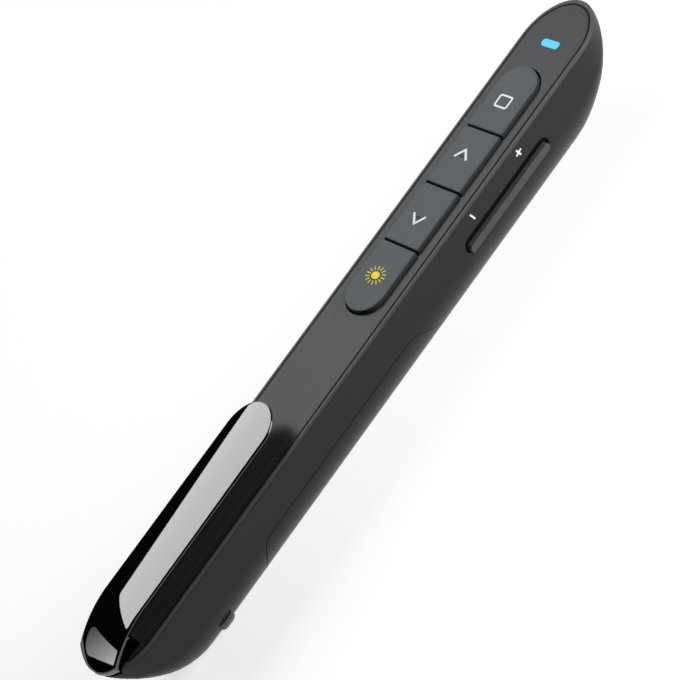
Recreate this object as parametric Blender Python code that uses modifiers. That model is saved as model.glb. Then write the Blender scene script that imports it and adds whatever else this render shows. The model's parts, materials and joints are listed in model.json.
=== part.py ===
"""Wireless presenter: a slim hand-held slide clicker with a laser, a pen clip and a stored USB receiver.

Metres, +Z up. The long axis runs along X, with the laser at +X and the clip's root at -X. The keys look up
and the volume rocker faces -Y. The origin is below the middle of the body, on the surface that it lies on.
"Distance" means the distance along X from the tail's tip, and "depth" the depth below the deck, the flat
top of the body.
"""
from math import cos, pi, radians, sin, sqrt

import bmesh
import bpy
from mathutils import Vector

# Clearances
SEAT_GAP = 0.0002
RUNNING_GAP = 0.00006
OVERRUN = 0.002
MERGE_DISTANCE = 0.00001

# Body: its wall and the curves of its ends. Its length, width and depth follow from what it holds.
WALL = 0.0017
RIM_WIDTH = 0.0009
RIM_CHAMFER = 0.00045
CORNER_WIDE = 0.0052
CORNER_DEEP = 0.0081
TAIL_PLAN_REACH = 0.0106
TAIL_KEEL_REACH = 0.0173
HEAD_PLAN_REACH = 0.0106
HEAD_KEEL_REACH = 0.0208
NOSE_LENGTH = 0.0090
END_STATIONS = 14
CORNER_STEPS = 9

# Top panel
PANEL_THICK = 0.0011
PANEL_EDGE = 0.00015

# Keys
END_KEY_LENGTH = 0.0155
MIDDLE_KEY_LENGTH = 0.01385
KEYS_OVER_BAY = 0.0036
KEY_HALF_WIDTH = 0.0047
KEY_SPACING = 0.0004
KEY_RAISED = 0.00095
KEY_TRAVEL = 0.00045
KEY_EDGE = 0.00025
KEY_FLANGE_WIDER = 0.0008
KEY_FLANGE_THICK = 0.0006
KEY_FOOT_RADIUS = 0.0016
KEY_FOOT_LENGTH = 0.0005
KEY_TO_FRAME = 0.00025

# Circuit board and the switches on it
BOARD_THICK = 0.0010
BOARD_NOTCH = 0.0011
BOARD_GAP = 0.0004
BOARD_SHORTER = 0.0005
SWITCH_SIZE = 0.0045
SWITCH_HEIGHT = 0.0016
SWITCH_EDGE = 0.0003
PLUNGER_RADIUS = 0.0011
PLUNGER_PROUD = 0.00055
PLUNGER_SUNK = 0.0009
CHIP_SIZE = 0.0050
CHIP_HEIGHT = 0.0009
CHIP_SIDE = 0.0018
CRYSTAL_LENGTH = 0.0050
CRYSTAL_WIDTH = 0.0032
CRYSTAL_HEIGHT = 0.0010
CRYSTAL_AFTER_CHIP = 0.0068

# Volume rocker in the side wall
ROCKER_LENGTH = 0.0272
ROCKER_TALL = 0.0038
ROCKER_PAST_MIDDLE = 0.00615
ROCKER_SUNK = 0.0006
RIDGE_PROUD = 0.0005
RIDGE_TALL = 0.0010
RIDGE_ABOVE_EDGE = 0.0004
RIDGE_SHORTER = 0.0004
RIDGE_EDGE = 0.0003
ROCKER_FLANGE_THICK = 0.0005
ROCKER_FLANGE_WIDER = 0.0005
ROCKER_SWING = 0.00035
ROCKER_NIB_RADIUS = 0.0005
ROCKER_POST_LENGTH = 0.0024
ROCKER_POST_THICK = 0.0015
VOLUME_SWITCH_FROM_END = 0.0036
VOLUME_SWITCH_LONG = 0.0044
VOLUME_SWITCH_DEEP = 0.0035
VOLUME_SWITCH_HIGH = 0.0024
VOLUME_NIB_RADIUS = 0.0006
VOLUME_NIB_LENGTH = 0.0005

# Status light in the head
LIGHT_AFTER_KEYS = 0.0065
LIGHT_ACROSS = 0.0044
LIGHT_ALONG = 0.0016
LIGHT_CORNER = 0.0006
LIGHT_GUIDE_DEEP = 0.0019
LED_LONG = 0.0034
LED_WIDE = 0.0026
LED_HIGH = 0.0009
LED_BOARD_LENGTH = 0.0080
LED_BOARD_WIDTH = 0.0074
LED_BOARD_THICK = 0.0006

# Laser in the head
BARREL_RADIUS = 0.0025
BARREL_LENGTH = 0.0074
BARREL_BORE = 0.0019
BARREL_FLOOR = 0.0008
BARREL_TO_LIGHT = 0.0004
LENS_THICK = 0.0010
LENS_SUNK = 0.0003
DIODE_BOARD_THICK = 0.0008
CRADLE_WIDTH = 0.0086
CRADLE_FLOOR_SLACK = 0.0004
BEZEL_RADIUS = 0.0021
BEZEL_BORE = 0.0013
BEZEL_TO_BARREL = 0.0016

# Battery, its bay and its cover
CELL_RADIUS = 0.00525
CELL_LENGTH = 0.0440
CELL_NUB_RADIUS = 0.0019
CELL_NUB_LENGTH = 0.0008
CELL_EDGE = 0.0004
CELL_SLACK = 0.0003
CELL_SIDE_ROOM = 0.00035
CONTACT_THICK = 0.0004
CONTACT_SIZE = 0.0070
SPRING_TURNS = 3
SPRING_LENGTH = 0.0031
SPRING_WIRE = 0.00025
SPRING_WIDE_RADIUS = 0.0033
SPRING_NARROW_RADIUS = 0.0020
SPRING_POINTS_A_TURN = 10
FRAME_END_WALL = 0.0016
FRAME_ROOF = 0.0012
FRAME_SIDE = 0.0008
EAR_THICK = 0.0011
EAR_WIDTH = 0.0064
EAR_PAST_SCREW = 0.0018
EAR_BELOW_EDGE = 0.00025
COVER_WALL = 0.0013
COVER_ABOVE_CORNER = 0.00005
COVER_TAIL_SLANT = 0.0040
COVER_HEAD_SLANT = 0.0092
COVER_CORNER_REACH = 0.0022
COVER_AFTER_BAY_START = 0.0011
COVER_BEFORE_BAY_END = 0.0005

# Fasteners
SCREW_RADIUS = 0.00065
SCREW_LENGTH = 0.0045
SCREW_HEAD_RADIUS = 0.0014
SCREW_HEAD_HEIGHT = 0.0008
SCREW_SLOT_WIDE = 0.00035
SCREW_SLOT_DEEP = 0.0004
SCREW_STEPS = 16
BOSS_RADIUS = 0.0020
BOSS_TO_POWER_BOARD = 0.00035
BOSS_TO_HATCH = 0.0005
SCREW_TO_BOARD_END = 0.0026

# Power switch under the tail
KNOB_AFTER_CURVE = 0.0030
KNOB_LENGTH = 0.0035
KNOB_PROUD = 0.0007
KNOB_TRAVEL = 0.0020
KNOB_WRAP = radians(64)
KNOB_STEPS = 6
rise_shares = ((-1.0, 0.45), (-0.72, 0.85), (-0.4, 1.0), (0.4, 1.0), (0.72, 0.85), (1.0, 0.45))
STEM_LENGTH = 0.0020
STEM_WIDTH = 0.0032
STEM_DEEP = 0.0010
SLIDER_BODY_LENGTH = 0.0090
SLIDER_BODY_WIDTH = 0.0066
SLIDER_BODY_HEIGHT = 0.0028
SLIDER_BOARD_LENGTH = 0.0108
SLIDER_BOARD_WIDTH = 0.0104
SLIDER_BOARD_THICK = 0.0008
SLIDER_TO_POCKET = 0.0003

# USB receiver stored in the tail
GRIP_LENGTH = 0.0070
PLUG_LENGTH = 0.0117
PLUG_WIDTH = 0.0120
PLUG_HEIGHT = 0.0045
PLUG_SHEET = 0.0004
PLUG_SIDE_ROOM = 0.00035
PLUG_TOP_ROOM = 0.00025
PLUG_END_ROOM = 0.0019
TONGUE_THICK = 0.0017
TONGUE_SHORTER = 0.0010
POCKET_SLACK = 0.0002
POCKET_ROOF = 0.0004
POCKET_SIDE_WALL = 0.0016
POCKET_END_WALL = 0.0005
TAIL_BLOCK_WALL = 0.0010
MAGNET_RADIUS = 0.0020
MAGNET_THICK = 0.0012

# Pen clip
CLIP_END = 0.0578
CLIP_TAIL = 0.0001
CLIP_HALF_WIDTH = 0.0056
CLIP_TIP_HALF = 0.0055
CLIP_LEAN = 0.0014
CLIP_TIP_REACH = 0.0066
CLIP_HEIGHT = 0.0050
CLIP_THICK = 0.0017
CLIP_CROWN = 0.0005
CLIP_EDGE = 0.0003
CLIP_BEND = 0.0140
CLIP_ROOT_LENGTH = 0.0087
CLIP_SEAT_DEEP = 0.0010
CLIP_SWING_GAP = 0.0004
CLIP_ARCH_START = 0.0012
CLIP_ARCH_END = 0.0150
CLIP_STEP = 0.0003
crown_shares = (1.0, 0.5, 0.0, -0.5, -1.0)
arch_shares = (0.0, 0.06, 0.16, 0.3, 0.5, 0.75, 1.0)
PIN_RADIUS = 0.0006
PIN_LENGTH = 0.0092
PIN_DISTANCE = 0.0054
PIN_DEPTH = 0.0021
FOOT_LENGTH = 0.0040
FOOT_WIDTH = 0.0060
FOOT_BELOW_PIN = 0.0010

# Leads from the power switch to the circuit board
LEAD_RADIUS = 0.00025
LEAD_SIDE = 0.0047
LEAD_FROM_BOARD_END = 0.00225
LEAD_ABOVE_BOARD = 0.0006
LEAD_BEFORE_FRAME = 0.0011
LEAD_HOLE_SLACK = 0.0002
LEAD_POINTS = 14
LEAD_ON_BOARD = 0.0016

# Depths below the deck and heights, worked out from the sizes above
FLANGE_DEPTH = PANEL_THICK + SEAT_GAP
FLANGE_UNDER = FLANGE_DEPTH + KEY_FLANGE_THICK
FOOT_DEPTH = FLANGE_UNDER + KEY_FOOT_LENGTH
BOARD_DEPTH = FOOT_DEPTH + RUNNING_GAP + PLUNGER_PROUD + SWITCH_HEIGHT + SEAT_GAP
BOARD_UNDER = BOARD_DEPTH + BOARD_THICK
LEAD_DEPTH = BOARD_DEPTH - SEAT_GAP - LEAD_RADIUS
ROCKER_DEPTH = BOARD_UNDER + RUNNING_GAP + VOLUME_NIB_RADIUS
ROCKER_BOTTOM_DEPTH = ROCKER_DEPTH + ROCKER_TALL / 2
LED_BOARD_UNDER = LIGHT_GUIDE_DEEP + SEAT_GAP + LED_HIGH + SEAT_GAP / 2 + LED_BOARD_THICK
LASER_DEPTH = LED_BOARD_UNDER + BARREL_TO_LIGHT + BARREL_RADIUS
FRAME_TOP_DEPTH = FLANGE_UNDER + KEY_TRAVEL + KEY_TO_FRAME
BAY_STACK = FRAME_TOP_DEPTH + FRAME_ROOF + CELL_SLACK + 2 * CELL_RADIUS + SEAT_GAP + WALL
POCKET_DEPTH = PIN_DEPTH + FOOT_BELOW_PIN + CLIP_SWING_GAP + POCKET_ROOF
POCKET_HEIGHT = PLUG_HEIGHT + 2 * PLUG_TOP_ROOM
TAIL_BLOCK_UNDER = POCKET_DEPTH + POCKET_HEIGHT + TAIL_BLOCK_WALL
SLIDER_STACK = SLIDER_BOARD_THICK + SEAT_GAP + SLIDER_BODY_HEIGHT + SEAT_GAP + WALL
BODY_DEPTH = max(BAY_STACK, TAIL_BLOCK_UNDER + SLIDER_TO_POCKET + SLIDER_STACK)
COVER_EDGE_DEPTH = BODY_DEPTH - CORNER_DEEP - COVER_ABOVE_CORNER
TAIL_EAR_DEPTH = COVER_EDGE_DEPTH + EAR_BELOW_EDGE
KEEL = KNOB_PROUD
DECK = KEEL + BODY_DEPTH
CELL_HEIGHT = KEEL + WALL + SEAT_GAP + CELL_RADIUS
ROOF_DEPTH = DECK - CELL_HEIGHT - CELL_RADIUS - CELL_SLACK

# Widths, worked out from the sizes above
POCKET_WIDTH = PLUG_WIDTH + 2 * PLUG_SIDE_ROOM
BAY_HALF = CELL_RADIUS + CELL_SIDE_ROOM + FRAME_SIDE + SEAT_GAP + WALL
HALF_WIDTH = max(BAY_HALF, POCKET_WIDTH / 2 + POCKET_SIDE_WALL)
BODY_WIDTH = 2 * HALF_WIDTH
ROCKER_FLANGE_FACE = HALF_WIDTH - WALL - ROCKER_SWING
ROCKER_BACK = ROCKER_FLANGE_FACE - ROCKER_FLANGE_THICK
ROCKER_PIVOT = ROCKER_BACK - ROCKER_NIB_RADIUS

# Distances from the tail's tip, worked out from the sizes above
POCKET_LENGTH = GRIP_LENGTH + SEAT_GAP + PLUG_LENGTH + PLUG_END_ROOM
TAIL_BLOCK_LENGTH = POCKET_LENGTH + POCKET_END_WALL + SEAT_GAP + MAGNET_THICK
KNOB_MIDDLE = TAIL_KEEL_REACH + KNOB_AFTER_CURVE + KNOB_LENGTH / 2
SLIDER_MIDDLE = KNOB_MIDDLE + KNOB_TRAVEL / 2
SLIDER_BOARD_END = SLIDER_MIDDLE + SLIDER_BOARD_LENGTH / 2
TAIL_SCREW = SLIDER_BOARD_END + BOSS_TO_POWER_BOARD + BOSS_RADIUS
COVER_TOP_START = TAIL_SCREW + BOSS_RADIUS + BOSS_TO_HATCH + COVER_TAIL_SLANT
BAY_START = COVER_TOP_START - COVER_AFTER_BAY_START
BAY_END = BAY_START + CELL_LENGTH + SPRING_LENGTH + 2 * (SPRING_WIRE + CONTACT_THICK) + 5 * SEAT_GAP
COVER_TOP_END = BAY_END - COVER_BEFORE_BAY_END
MIDDLE_SCREW = COVER_TOP_END + COVER_HEAD_SLANT + BOSS_TO_HATCH + BOSS_RADIUS
KEY_ROW_START = BAY_END - KEYS_OVER_BAY
KEY_ROW_MIDDLE = KEY_ROW_START + END_KEY_LENGTH + MIDDLE_KEY_LENGTH
KEY_ROW_END = KEY_ROW_MIDDLE + MIDDLE_KEY_LENGTH + END_KEY_LENGTH
ROCKER_MIDDLE = KEY_ROW_MIDDLE + ROCKER_PAST_MIDDLE
ROCKER_START = ROCKER_MIDDLE - ROCKER_LENGTH / 2
ROCKER_END = ROCKER_MIDDLE + ROCKER_LENGTH / 2
VOLUME_SWITCH_REACH = ROCKER_LENGTH / 2 - VOLUME_SWITCH_FROM_END
BOARD_START = BAY_END + FRAME_END_WALL + BOARD_GAP
BOARD_END = KEY_ROW_END - BOARD_SHORTER
HEAD_SCREW = BOARD_END - SCREW_TO_BOARD_END
LASER_START = BOARD_END + BOARD_GAP + DIODE_BOARD_THICK + SEAT_GAP
LIGHT_DISTANCE = KEY_ROW_END + LIGHT_AFTER_KEYS
BODY_LENGTH = LASER_START + BARREL_LENGTH + NOSE_LENGTH
BEZEL_BACK = NOSE_LENGTH - BEZEL_TO_BARREL
LEAD_START = SLIDER_BOARD_END - LEAD_FROM_BOARD_END
LEAD_RISE_END = BAY_START - FRAME_END_WALL - LEAD_BEFORE_FRAME

# Colours and finishes: red, green, blue, roughness, metallic
FINISHES = {
    "shell_black": (0.030, 0.030, 0.031, 0.45, 0.0),
    "brushed_panel": (0.11, 0.115, 0.115, 0.35, 1.0),
    "key_slate": (0.11, 0.12, 0.14, 0.5, 0.0),
    "gloss_black": (0.004, 0.004, 0.004, 0.06, 0.0),
    "rocker_grey": (0.05, 0.05, 0.05, 0.5, 0.0),
    "light_cyan": (0.14, 0.69, 0.97, 0.2, 0.0),
    "board_green": (0.02, 0.14, 0.06, 0.45, 0.0),
    "steel": (0.62, 0.62, 0.62, 0.3, 1.0),
    "brass": (0.72, 0.53, 0.22, 0.3, 1.0),
    "lens_glass": (0.60, 0.12, 0.12, 0.05, 0.0),
    "chip_black": (0.015, 0.015, 0.015, 0.5, 0.0),
    "frame_grey": (0.10, 0.10, 0.10, 0.6, 0.0),
    "cell_wrap": (0.35, 0.36, 0.38, 0.35, 0.3),
    "magnet_nickel": (0.70, 0.69, 0.66, 0.25, 1.0),
    "lead_red": (0.45, 0.02, 0.02, 0.5, 0.0),
    "lead_dark": (0.02, 0.02, 0.02, 0.5, 0.0),
    "led_white": (0.80, 0.85, 0.85, 0.3, 0.0),
}


def clear_scene():
    """Empty the scene and make the collections for the parts and for the cutters."""
    for old in list(bpy.data.objects):
        bpy.data.objects.remove(old, do_unlink=True)
    made = []
    for title in ("wireless_presenter", "cutters"):
        collection = bpy.data.collections.new(title)
        bpy.context.scene.collection.children.link(collection)
        made.append(collection)
    return made


PARTS, CUTTERS = clear_scene()


def finish_material(title):
    """A plain Principled material for one of the finishes."""
    material = bpy.data.materials.get(title)
    if material is None:
        red, green, blue, roughness, metallic = FINISHES[title]
        material = bpy.data.materials.new(title)
        material.use_nodes = True
        shader = material.node_tree.nodes["Principled BSDF"]
        shader.inputs["Base Color"].default_value = (red, green, blue, 1.0)
        shader.inputs["Roughness"].default_value = roughness
        shader.inputs["Metallic"].default_value = metallic
    return material


def along(distance):
    """X of a point at this distance from the tail's tip."""
    return distance - BODY_LENGTH / 2


def place(mesh, title, finish):
    """Put a mesh in the scene: a part when it has a finish, and otherwise a cutter."""
    piece = bpy.data.objects.new(title, mesh)
    if finish:
        mesh.materials.append(finish_material(finish))
        PARTS.objects.link(piece)
    else:
        CUTTERS.objects.link(piece)
        piece.hide_render = True
        piece.display_type = "WIRE"
    return piece


def from_bmesh(work, title, finish, sharp=radians(35)):
    """Turn a working mesh into an object whose faces point out, smooth across the shallow edges."""
    bmesh.ops.recalc_face_normals(work, faces=work.faces)
    mesh = bpy.data.meshes.new(title)
    work.to_mesh(mesh)
    work.free()
    mesh.shade_smooth()
    mesh.set_sharp_from_angle(angle=sharp)
    return place(mesh, title, finish)


def prism(title, outline, low, high, axis, finish=None):
    """Carry a flat outline along an axis. The outline lies in the other two axes, in X, Y, Z order."""
    work = bmesh.new()
    corners = []
    for first, second in outline:
        point = {"x": (low, first, second), "y": (first, low, second), "z": (first, second, low)}[axis]
        corners.append(work.verts.new(point))
    face = work.faces.new(corners)
    moved = bmesh.ops.extrude_face_region(work, geom=[face])
    step = {"x": (high - low, 0, 0), "y": (0, high - low, 0), "z": (0, 0, high - low)}[axis]
    lifted = [item for item in moved["geom"] if isinstance(item, bmesh.types.BMVert)]
    bmesh.ops.translate(work, verts=lifted, vec=step)
    return from_bmesh(work, title, finish)


def box(title, low, high, finish=None):
    """A box between two corners."""
    work = bmesh.new()
    bmesh.ops.create_cube(work, size=1)
    size = Vector(high) - Vector(low)
    middle = (Vector(high) + Vector(low)) / 2
    bmesh.ops.scale(work, verts=work.verts, vec=size)
    bmesh.ops.translate(work, verts=work.verts, vec=middle)
    return from_bmesh(work, title, finish)


def rod(title, middle, radius, length, axis, finish=None, segments=24):
    """A cylinder along an axis."""
    turn = {"x": (0, pi / 2, 0), "y": (pi / 2, 0, 0), "z": (0, 0, 0)}[axis]
    work = bmesh.new()
    bmesh.ops.create_cone(work, cap_ends=True, segments=segments, radius1=radius, radius2=radius,
                          depth=length)
    piece = from_bmesh(work, title, finish)
    piece.location = middle
    piece.rotation_euler = turn
    return piece


def turned(title, profile, middle, axis, finish, steps=24):
    """Screw a profile of (radius, height) points, given top to bottom, about an axis."""
    mesh = bpy.data.meshes.new(title)
    mesh.from_pydata([(radius, 0, height) for radius, height in profile],
                     [(index, index + 1) for index in range(len(profile) - 1)], [])
    piece = place(mesh, title, finish)
    screw = piece.modifiers.new("turn", "SCREW")
    screw.steps = steps
    screw.render_steps = steps
    screw.use_merge_vertices = True
    screw.merge_threshold = MERGE_DISTANCE
    screw.use_smooth_shade = True
    piece.location = middle
    piece.rotation_euler = {"x": (0, pi / 2, 0), "y": (-pi / 2, 0, 0), "z": (0, 0, 0)}[axis]
    return piece


def boolean(piece, other, operation):
    """Cut, join or intersect a piece with a cutter."""
    change = piece.modifiers.new(operation.lower() + "_" + other.name, "BOOLEAN")
    change.operation = operation
    change.object = other
    change.solver = "EXACT"


def cut(piece, *cutters):
    for cutter in cutters:
        boolean(piece, cutter, "DIFFERENCE")


def join(piece, *others):
    for other in others:
        boolean(piece, other, "UNION")


def soften(piece, width, segments=2, angle=radians(40)):
    """Round the edges that are sharper than the angle."""
    bevel = piece.modifiers.new("soft_edges", "BEVEL")
    bevel.width = width
    bevel.segments = segments
    bevel.limit_method = "ANGLE"
    bevel.angle_limit = angle


def carry(title, point, *pieces):
    """Hang moving pieces on an empty that stands on their joint's axis."""
    holder = bpy.data.objects.new(title, None)
    holder.empty_display_size = SWITCH_SIZE
    holder.location = point
    PARTS.objects.link(holder)
    bpy.context.view_layer.update()
    for piece in pieces:
        piece.parent = holder
        piece.matrix_parent_inverse = holder.matrix_world.inverted()


def end_share(distance, tail_reach, head_reach, inset=0.0):
    """1 along the straight body, falling as a parabola to 0 at the tail's and the head's tip."""
    from_tail = distance - inset
    from_head = BODY_LENGTH - inset - distance
    tail = max(0.0, 1 - from_tail / (tail_reach - inset))
    head = max(0.0, 1 - from_head / (head_reach - inset))
    return max(0.0, 1 - max(tail, head) ** 2)


def plan_half(distance, inset=0.0):
    """Half the body's width at a distance: its plan ends in half ellipses, here moved in by the inset."""
    return (HALF_WIDTH - inset) * sqrt(end_share(distance, TAIL_PLAN_REACH, HEAD_PLAN_REACH, inset))


def body_depth(distance, inset=0.0):
    """Depth of the keel below the deck at a distance: it rises to each tip as a parabola."""
    return (BODY_DEPTH - inset) * end_share(distance, TAIL_KEEL_REACH, HEAD_KEEL_REACH, inset)


def arc_stations(reach, count, start):
    """Distances from a tip that lie at equal angles round a quarter ellipse of this reach."""
    return [start + reach * (1 - cos(pi / 2 * step / count)) for step in range(1, count + 1)]


def stations(tail_reach, head_reach, inset):
    """Distances of the rings between the two tips, dense where the ends curve."""
    tail = arc_stations(tail_reach - inset, END_STATIONS, inset)
    head = arc_stations(head_reach - inset, END_STATIONS, inset)
    return tail + [BODY_LENGTH - value for value in reversed(head)]


def hull_ring(distance, inset, chamfer):
    """Section of the body: down one flat side, round the keel's two elliptic corners and up the other."""
    half = plan_half(distance, inset)
    deep = body_depth(distance, inset)
    wide = (CORNER_WIDE - inset) * half / (HALF_WIDTH - inset)
    high = (CORNER_DEEP - inset) * deep / (BODY_DEPTH - inset)
    edge = chamfer * half / HALF_WIDTH
    side = [(half - edge, DECK), (half, DECK - edge)] if chamfer else [(half, DECK)]
    for step in range(CORNER_STEPS + 1):
        angle = pi / 2 * step / CORNER_STEPS
        side.append((half - wide + wide * cos(angle), DECK - deep + high - high * sin(angle)))
    return side + [(-across, height) for across, height in reversed(side)]


def loft(title, rings, tips=None, finish=None):
    """Skin closed rings of (x, y, z) points, and close the ends at two tips or with two flat faces."""
    work = bmesh.new()
    rows = [[work.verts.new(point) for point in ring] for ring in rings]
    count = len(rows[0])
    for near, far in zip(rows, rows[1:]):
        for index in range(count):
            after = (index + 1) % count
            work.faces.new((near[index], near[after], far[after], far[index]))
    for row, tip in zip((rows[0], rows[-1]), tips or (None, None)):
        if tip is None:
            work.faces.new(row)
            continue
        point = work.verts.new(tip)
        for index in range(count):
            work.faces.new((row[index], row[(index + 1) % count], point))
    return from_bmesh(work, title, finish)


def canoe(title, inset, chamfer, finish=None):
    """The body's whole outer form, or the same form inside it by the inset."""
    rings = []
    for distance in stations(TAIL_KEEL_REACH, HEAD_KEEL_REACH, inset):
        rings.append([(along(distance), y, z) for y, z in hull_ring(distance, inset, chamfer)])
    tips = ((along(inset), 0, DECK), (along(BODY_LENGTH - inset), 0, DECK))
    return loft(title, rings, tips, finish)


def plan_outline(inset, start=None, end=None):
    """The body's plan, inside its edge by the inset, and cut straight at a start and an end where given."""
    low = inset if start is None else start
    high = BODY_LENGTH - inset if end is None else end
    inner = [value for value in stations(TAIL_PLAN_REACH, HEAD_PLAN_REACH, inset) if low < value < high]
    upper = [(along(value), plan_half(value, inset)) for value in [low] + inner + [high]]
    lower = [(x, -y) for x, y in reversed(upper) if y > 0]
    return [point for point in upper if point[1] > 0 or point in (upper[0], upper[-1])] + lower


def rounded_row(start, end, half, round_start, round_end, steps=10):
    """An outline of straight sides whose start or end may be a half circle."""
    points = []
    if round_end:
        for step in range(steps + 1):
            angle = pi / 2 - pi * step / steps
            points.append((along(end) - half + half * cos(angle), half * sin(angle)))
    else:
        points += [(along(end), half), (along(end), -half)]
    if round_start:
        for step in range(steps + 1):
            angle = -pi / 2 - pi * step / steps
            points.append((along(start) + half + half * cos(angle), half * sin(angle)))
    else:
        points += [(along(start), -half), (along(start), half)]
    return points


def rounded_box_outline(middle, half_first, half_second, radius, steps=4):
    """A rectangle with round corners about a middle."""
    points = []
    for quarter, (side_first, side_second) in enumerate(((1, 1), (-1, 1), (-1, -1), (1, -1))):
        for step in range(steps + 1):
            angle = pi / 2 * (quarter + step / steps)
            points.append((middle[0] + side_first * (half_first - radius) + radius * cos(angle),
                           middle[1] + side_second * (half_second - radius) + radius * sin(angle)))
    return points


def clip_top(distance):
    """Height of the clip's top above the deck: level along the arm, falling as a parabola to the tail."""
    fall = max(0.0, 1 - distance / CLIP_BEND)
    return CLIP_HEIGHT * (1 - fall * fall)


def clip_under(distance):
    """Height of the clip's underside above the deck: sunk at the root, then an elliptic arch to the arm."""
    if distance <= CLIP_ROOT_LENGTH:
        return CLIP_SWING_GAP - CLIP_SEAT_DEEP
    span = CLIP_ARCH_END - CLIP_ROOT_LENGTH
    fall = max(0.0, (CLIP_ARCH_END - distance) / span)
    arm = CLIP_HEIGHT - CLIP_THICK
    return CLIP_ARCH_START + (arm - CLIP_ARCH_START) * sqrt(max(0.0, 1 - fall * fall))


def clip_half(distance):
    """Half the clip's width: slightly tapered, rounded at the tip and by the body's plan at the tail."""
    tip = max(0.0, 1 - (CLIP_END - distance) / CLIP_TIP_REACH)
    span = CLIP_END - CLIP_TIP_REACH - CLIP_ROOT_LENGTH
    taper = min(1.0, max(0.0, (distance - CLIP_ROOT_LENGTH) / span))
    arm = CLIP_HALF_WIDTH + (CLIP_TIP_HALF - CLIP_HALF_WIDTH) * taper
    return min(arm * sqrt(max(0.0, 1 - tip * tip)), plan_half(distance))


def clip_ring(distance):
    """Section of the clip: a slightly crowned bar with eased edges, whose sides lean in under the arm."""
    half = clip_half(distance)
    top = DECK + clip_top(distance)
    low = DECK + clip_under(distance)
    edge = min(CLIP_EDGE, half / 3)
    arm_share = max(0.0, min(1.0, (distance - CLIP_ROOT_LENGTH) / (CLIP_ARCH_END - CLIP_ROOT_LENGTH)))
    foot = half - min(CLIP_LEAN, half / 2) * arm_share
    points = [(foot, low), (half, top - CLIP_CROWN - edge)]
    for share in crown_shares:
        points.append((share * (half - edge), top - CLIP_CROWN * share * share))
    points += [(-half, top - CLIP_CROWN - edge), (-foot, low)]
    return [(along(distance), across, height) for across, height in points]


def make_shell():
    """The one-piece body: an open canoe with a seat for the panel, a hatch, bosses and pockets."""
    shell = canoe("body_shell", 0.0, RIM_CHAMFER, "shell_black")
    seat = prism("cut_panel_seat", plan_outline(RIM_WIDTH), DECK - PANEL_THICK, DECK + OVERRUN, "z")
    hollow = canoe("cut_hollow", WALL, 0.0)
    block = box("keep_tail_block", (along(0) - OVERRUN, -BODY_WIDTH, DECK - TAIL_BLOCK_UNDER),
                (along(TAIL_BLOCK_LENGTH), BODY_WIDTH, DECK + OVERRUN))
    cut(hollow, block)
    for index, (distance, depth) in enumerate(boss_places()):
        boss = rod("keep_boss_%d" % index, boss_middle(distance, depth), BOSS_RADIUS,
                   boss_length(depth), "z", segments=20)
        cut(hollow, boss)
    post_front = -(ROCKER_PIVOT - SEAT_GAP)
    post = box("keep_rocker_post",
               (along(ROCKER_MIDDLE) - ROCKER_POST_LENGTH / 2, post_front, KEEL - OVERRUN),
               (along(ROCKER_MIDDLE) + ROCKER_POST_LENGTH / 2, post_front + ROCKER_POST_THICK,
                DECK - BOARD_UNDER - SEAT_GAP))
    cradle = box("keep_laser_cradle",
                 (along(LASER_START - CRADLE_FLOOR_SLACK), -CRADLE_WIDTH / 2, KEEL - OVERRUN),
                 (along(LASER_START + BARREL_LENGTH + CRADLE_FLOOR_SLACK), CRADLE_WIDTH / 2,
                  DECK - LASER_DEPTH + BARREL_RADIUS))
    cut(hollow, post, cradle)
    cut(shell, seat, hollow, *shell_cutters())


def boss_places():
    """Distance and top depth of the three screw bosses."""
    under_tail_ear = TAIL_EAR_DEPTH + EAR_THICK + SEAT_GAP
    under_head_ear = BOARD_UNDER + SEAT_GAP + EAR_THICK + SEAT_GAP
    under_board = BOARD_UNDER + SEAT_GAP
    return ((TAIL_SCREW, under_tail_ear), (MIDDLE_SCREW, under_head_ear), (HEAD_SCREW, under_board))


def boss_length(depth):
    return BODY_DEPTH - depth + OVERRUN


def boss_middle(distance, depth):
    return (along(distance), 0, DECK - depth - boss_length(depth) / 2)


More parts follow.
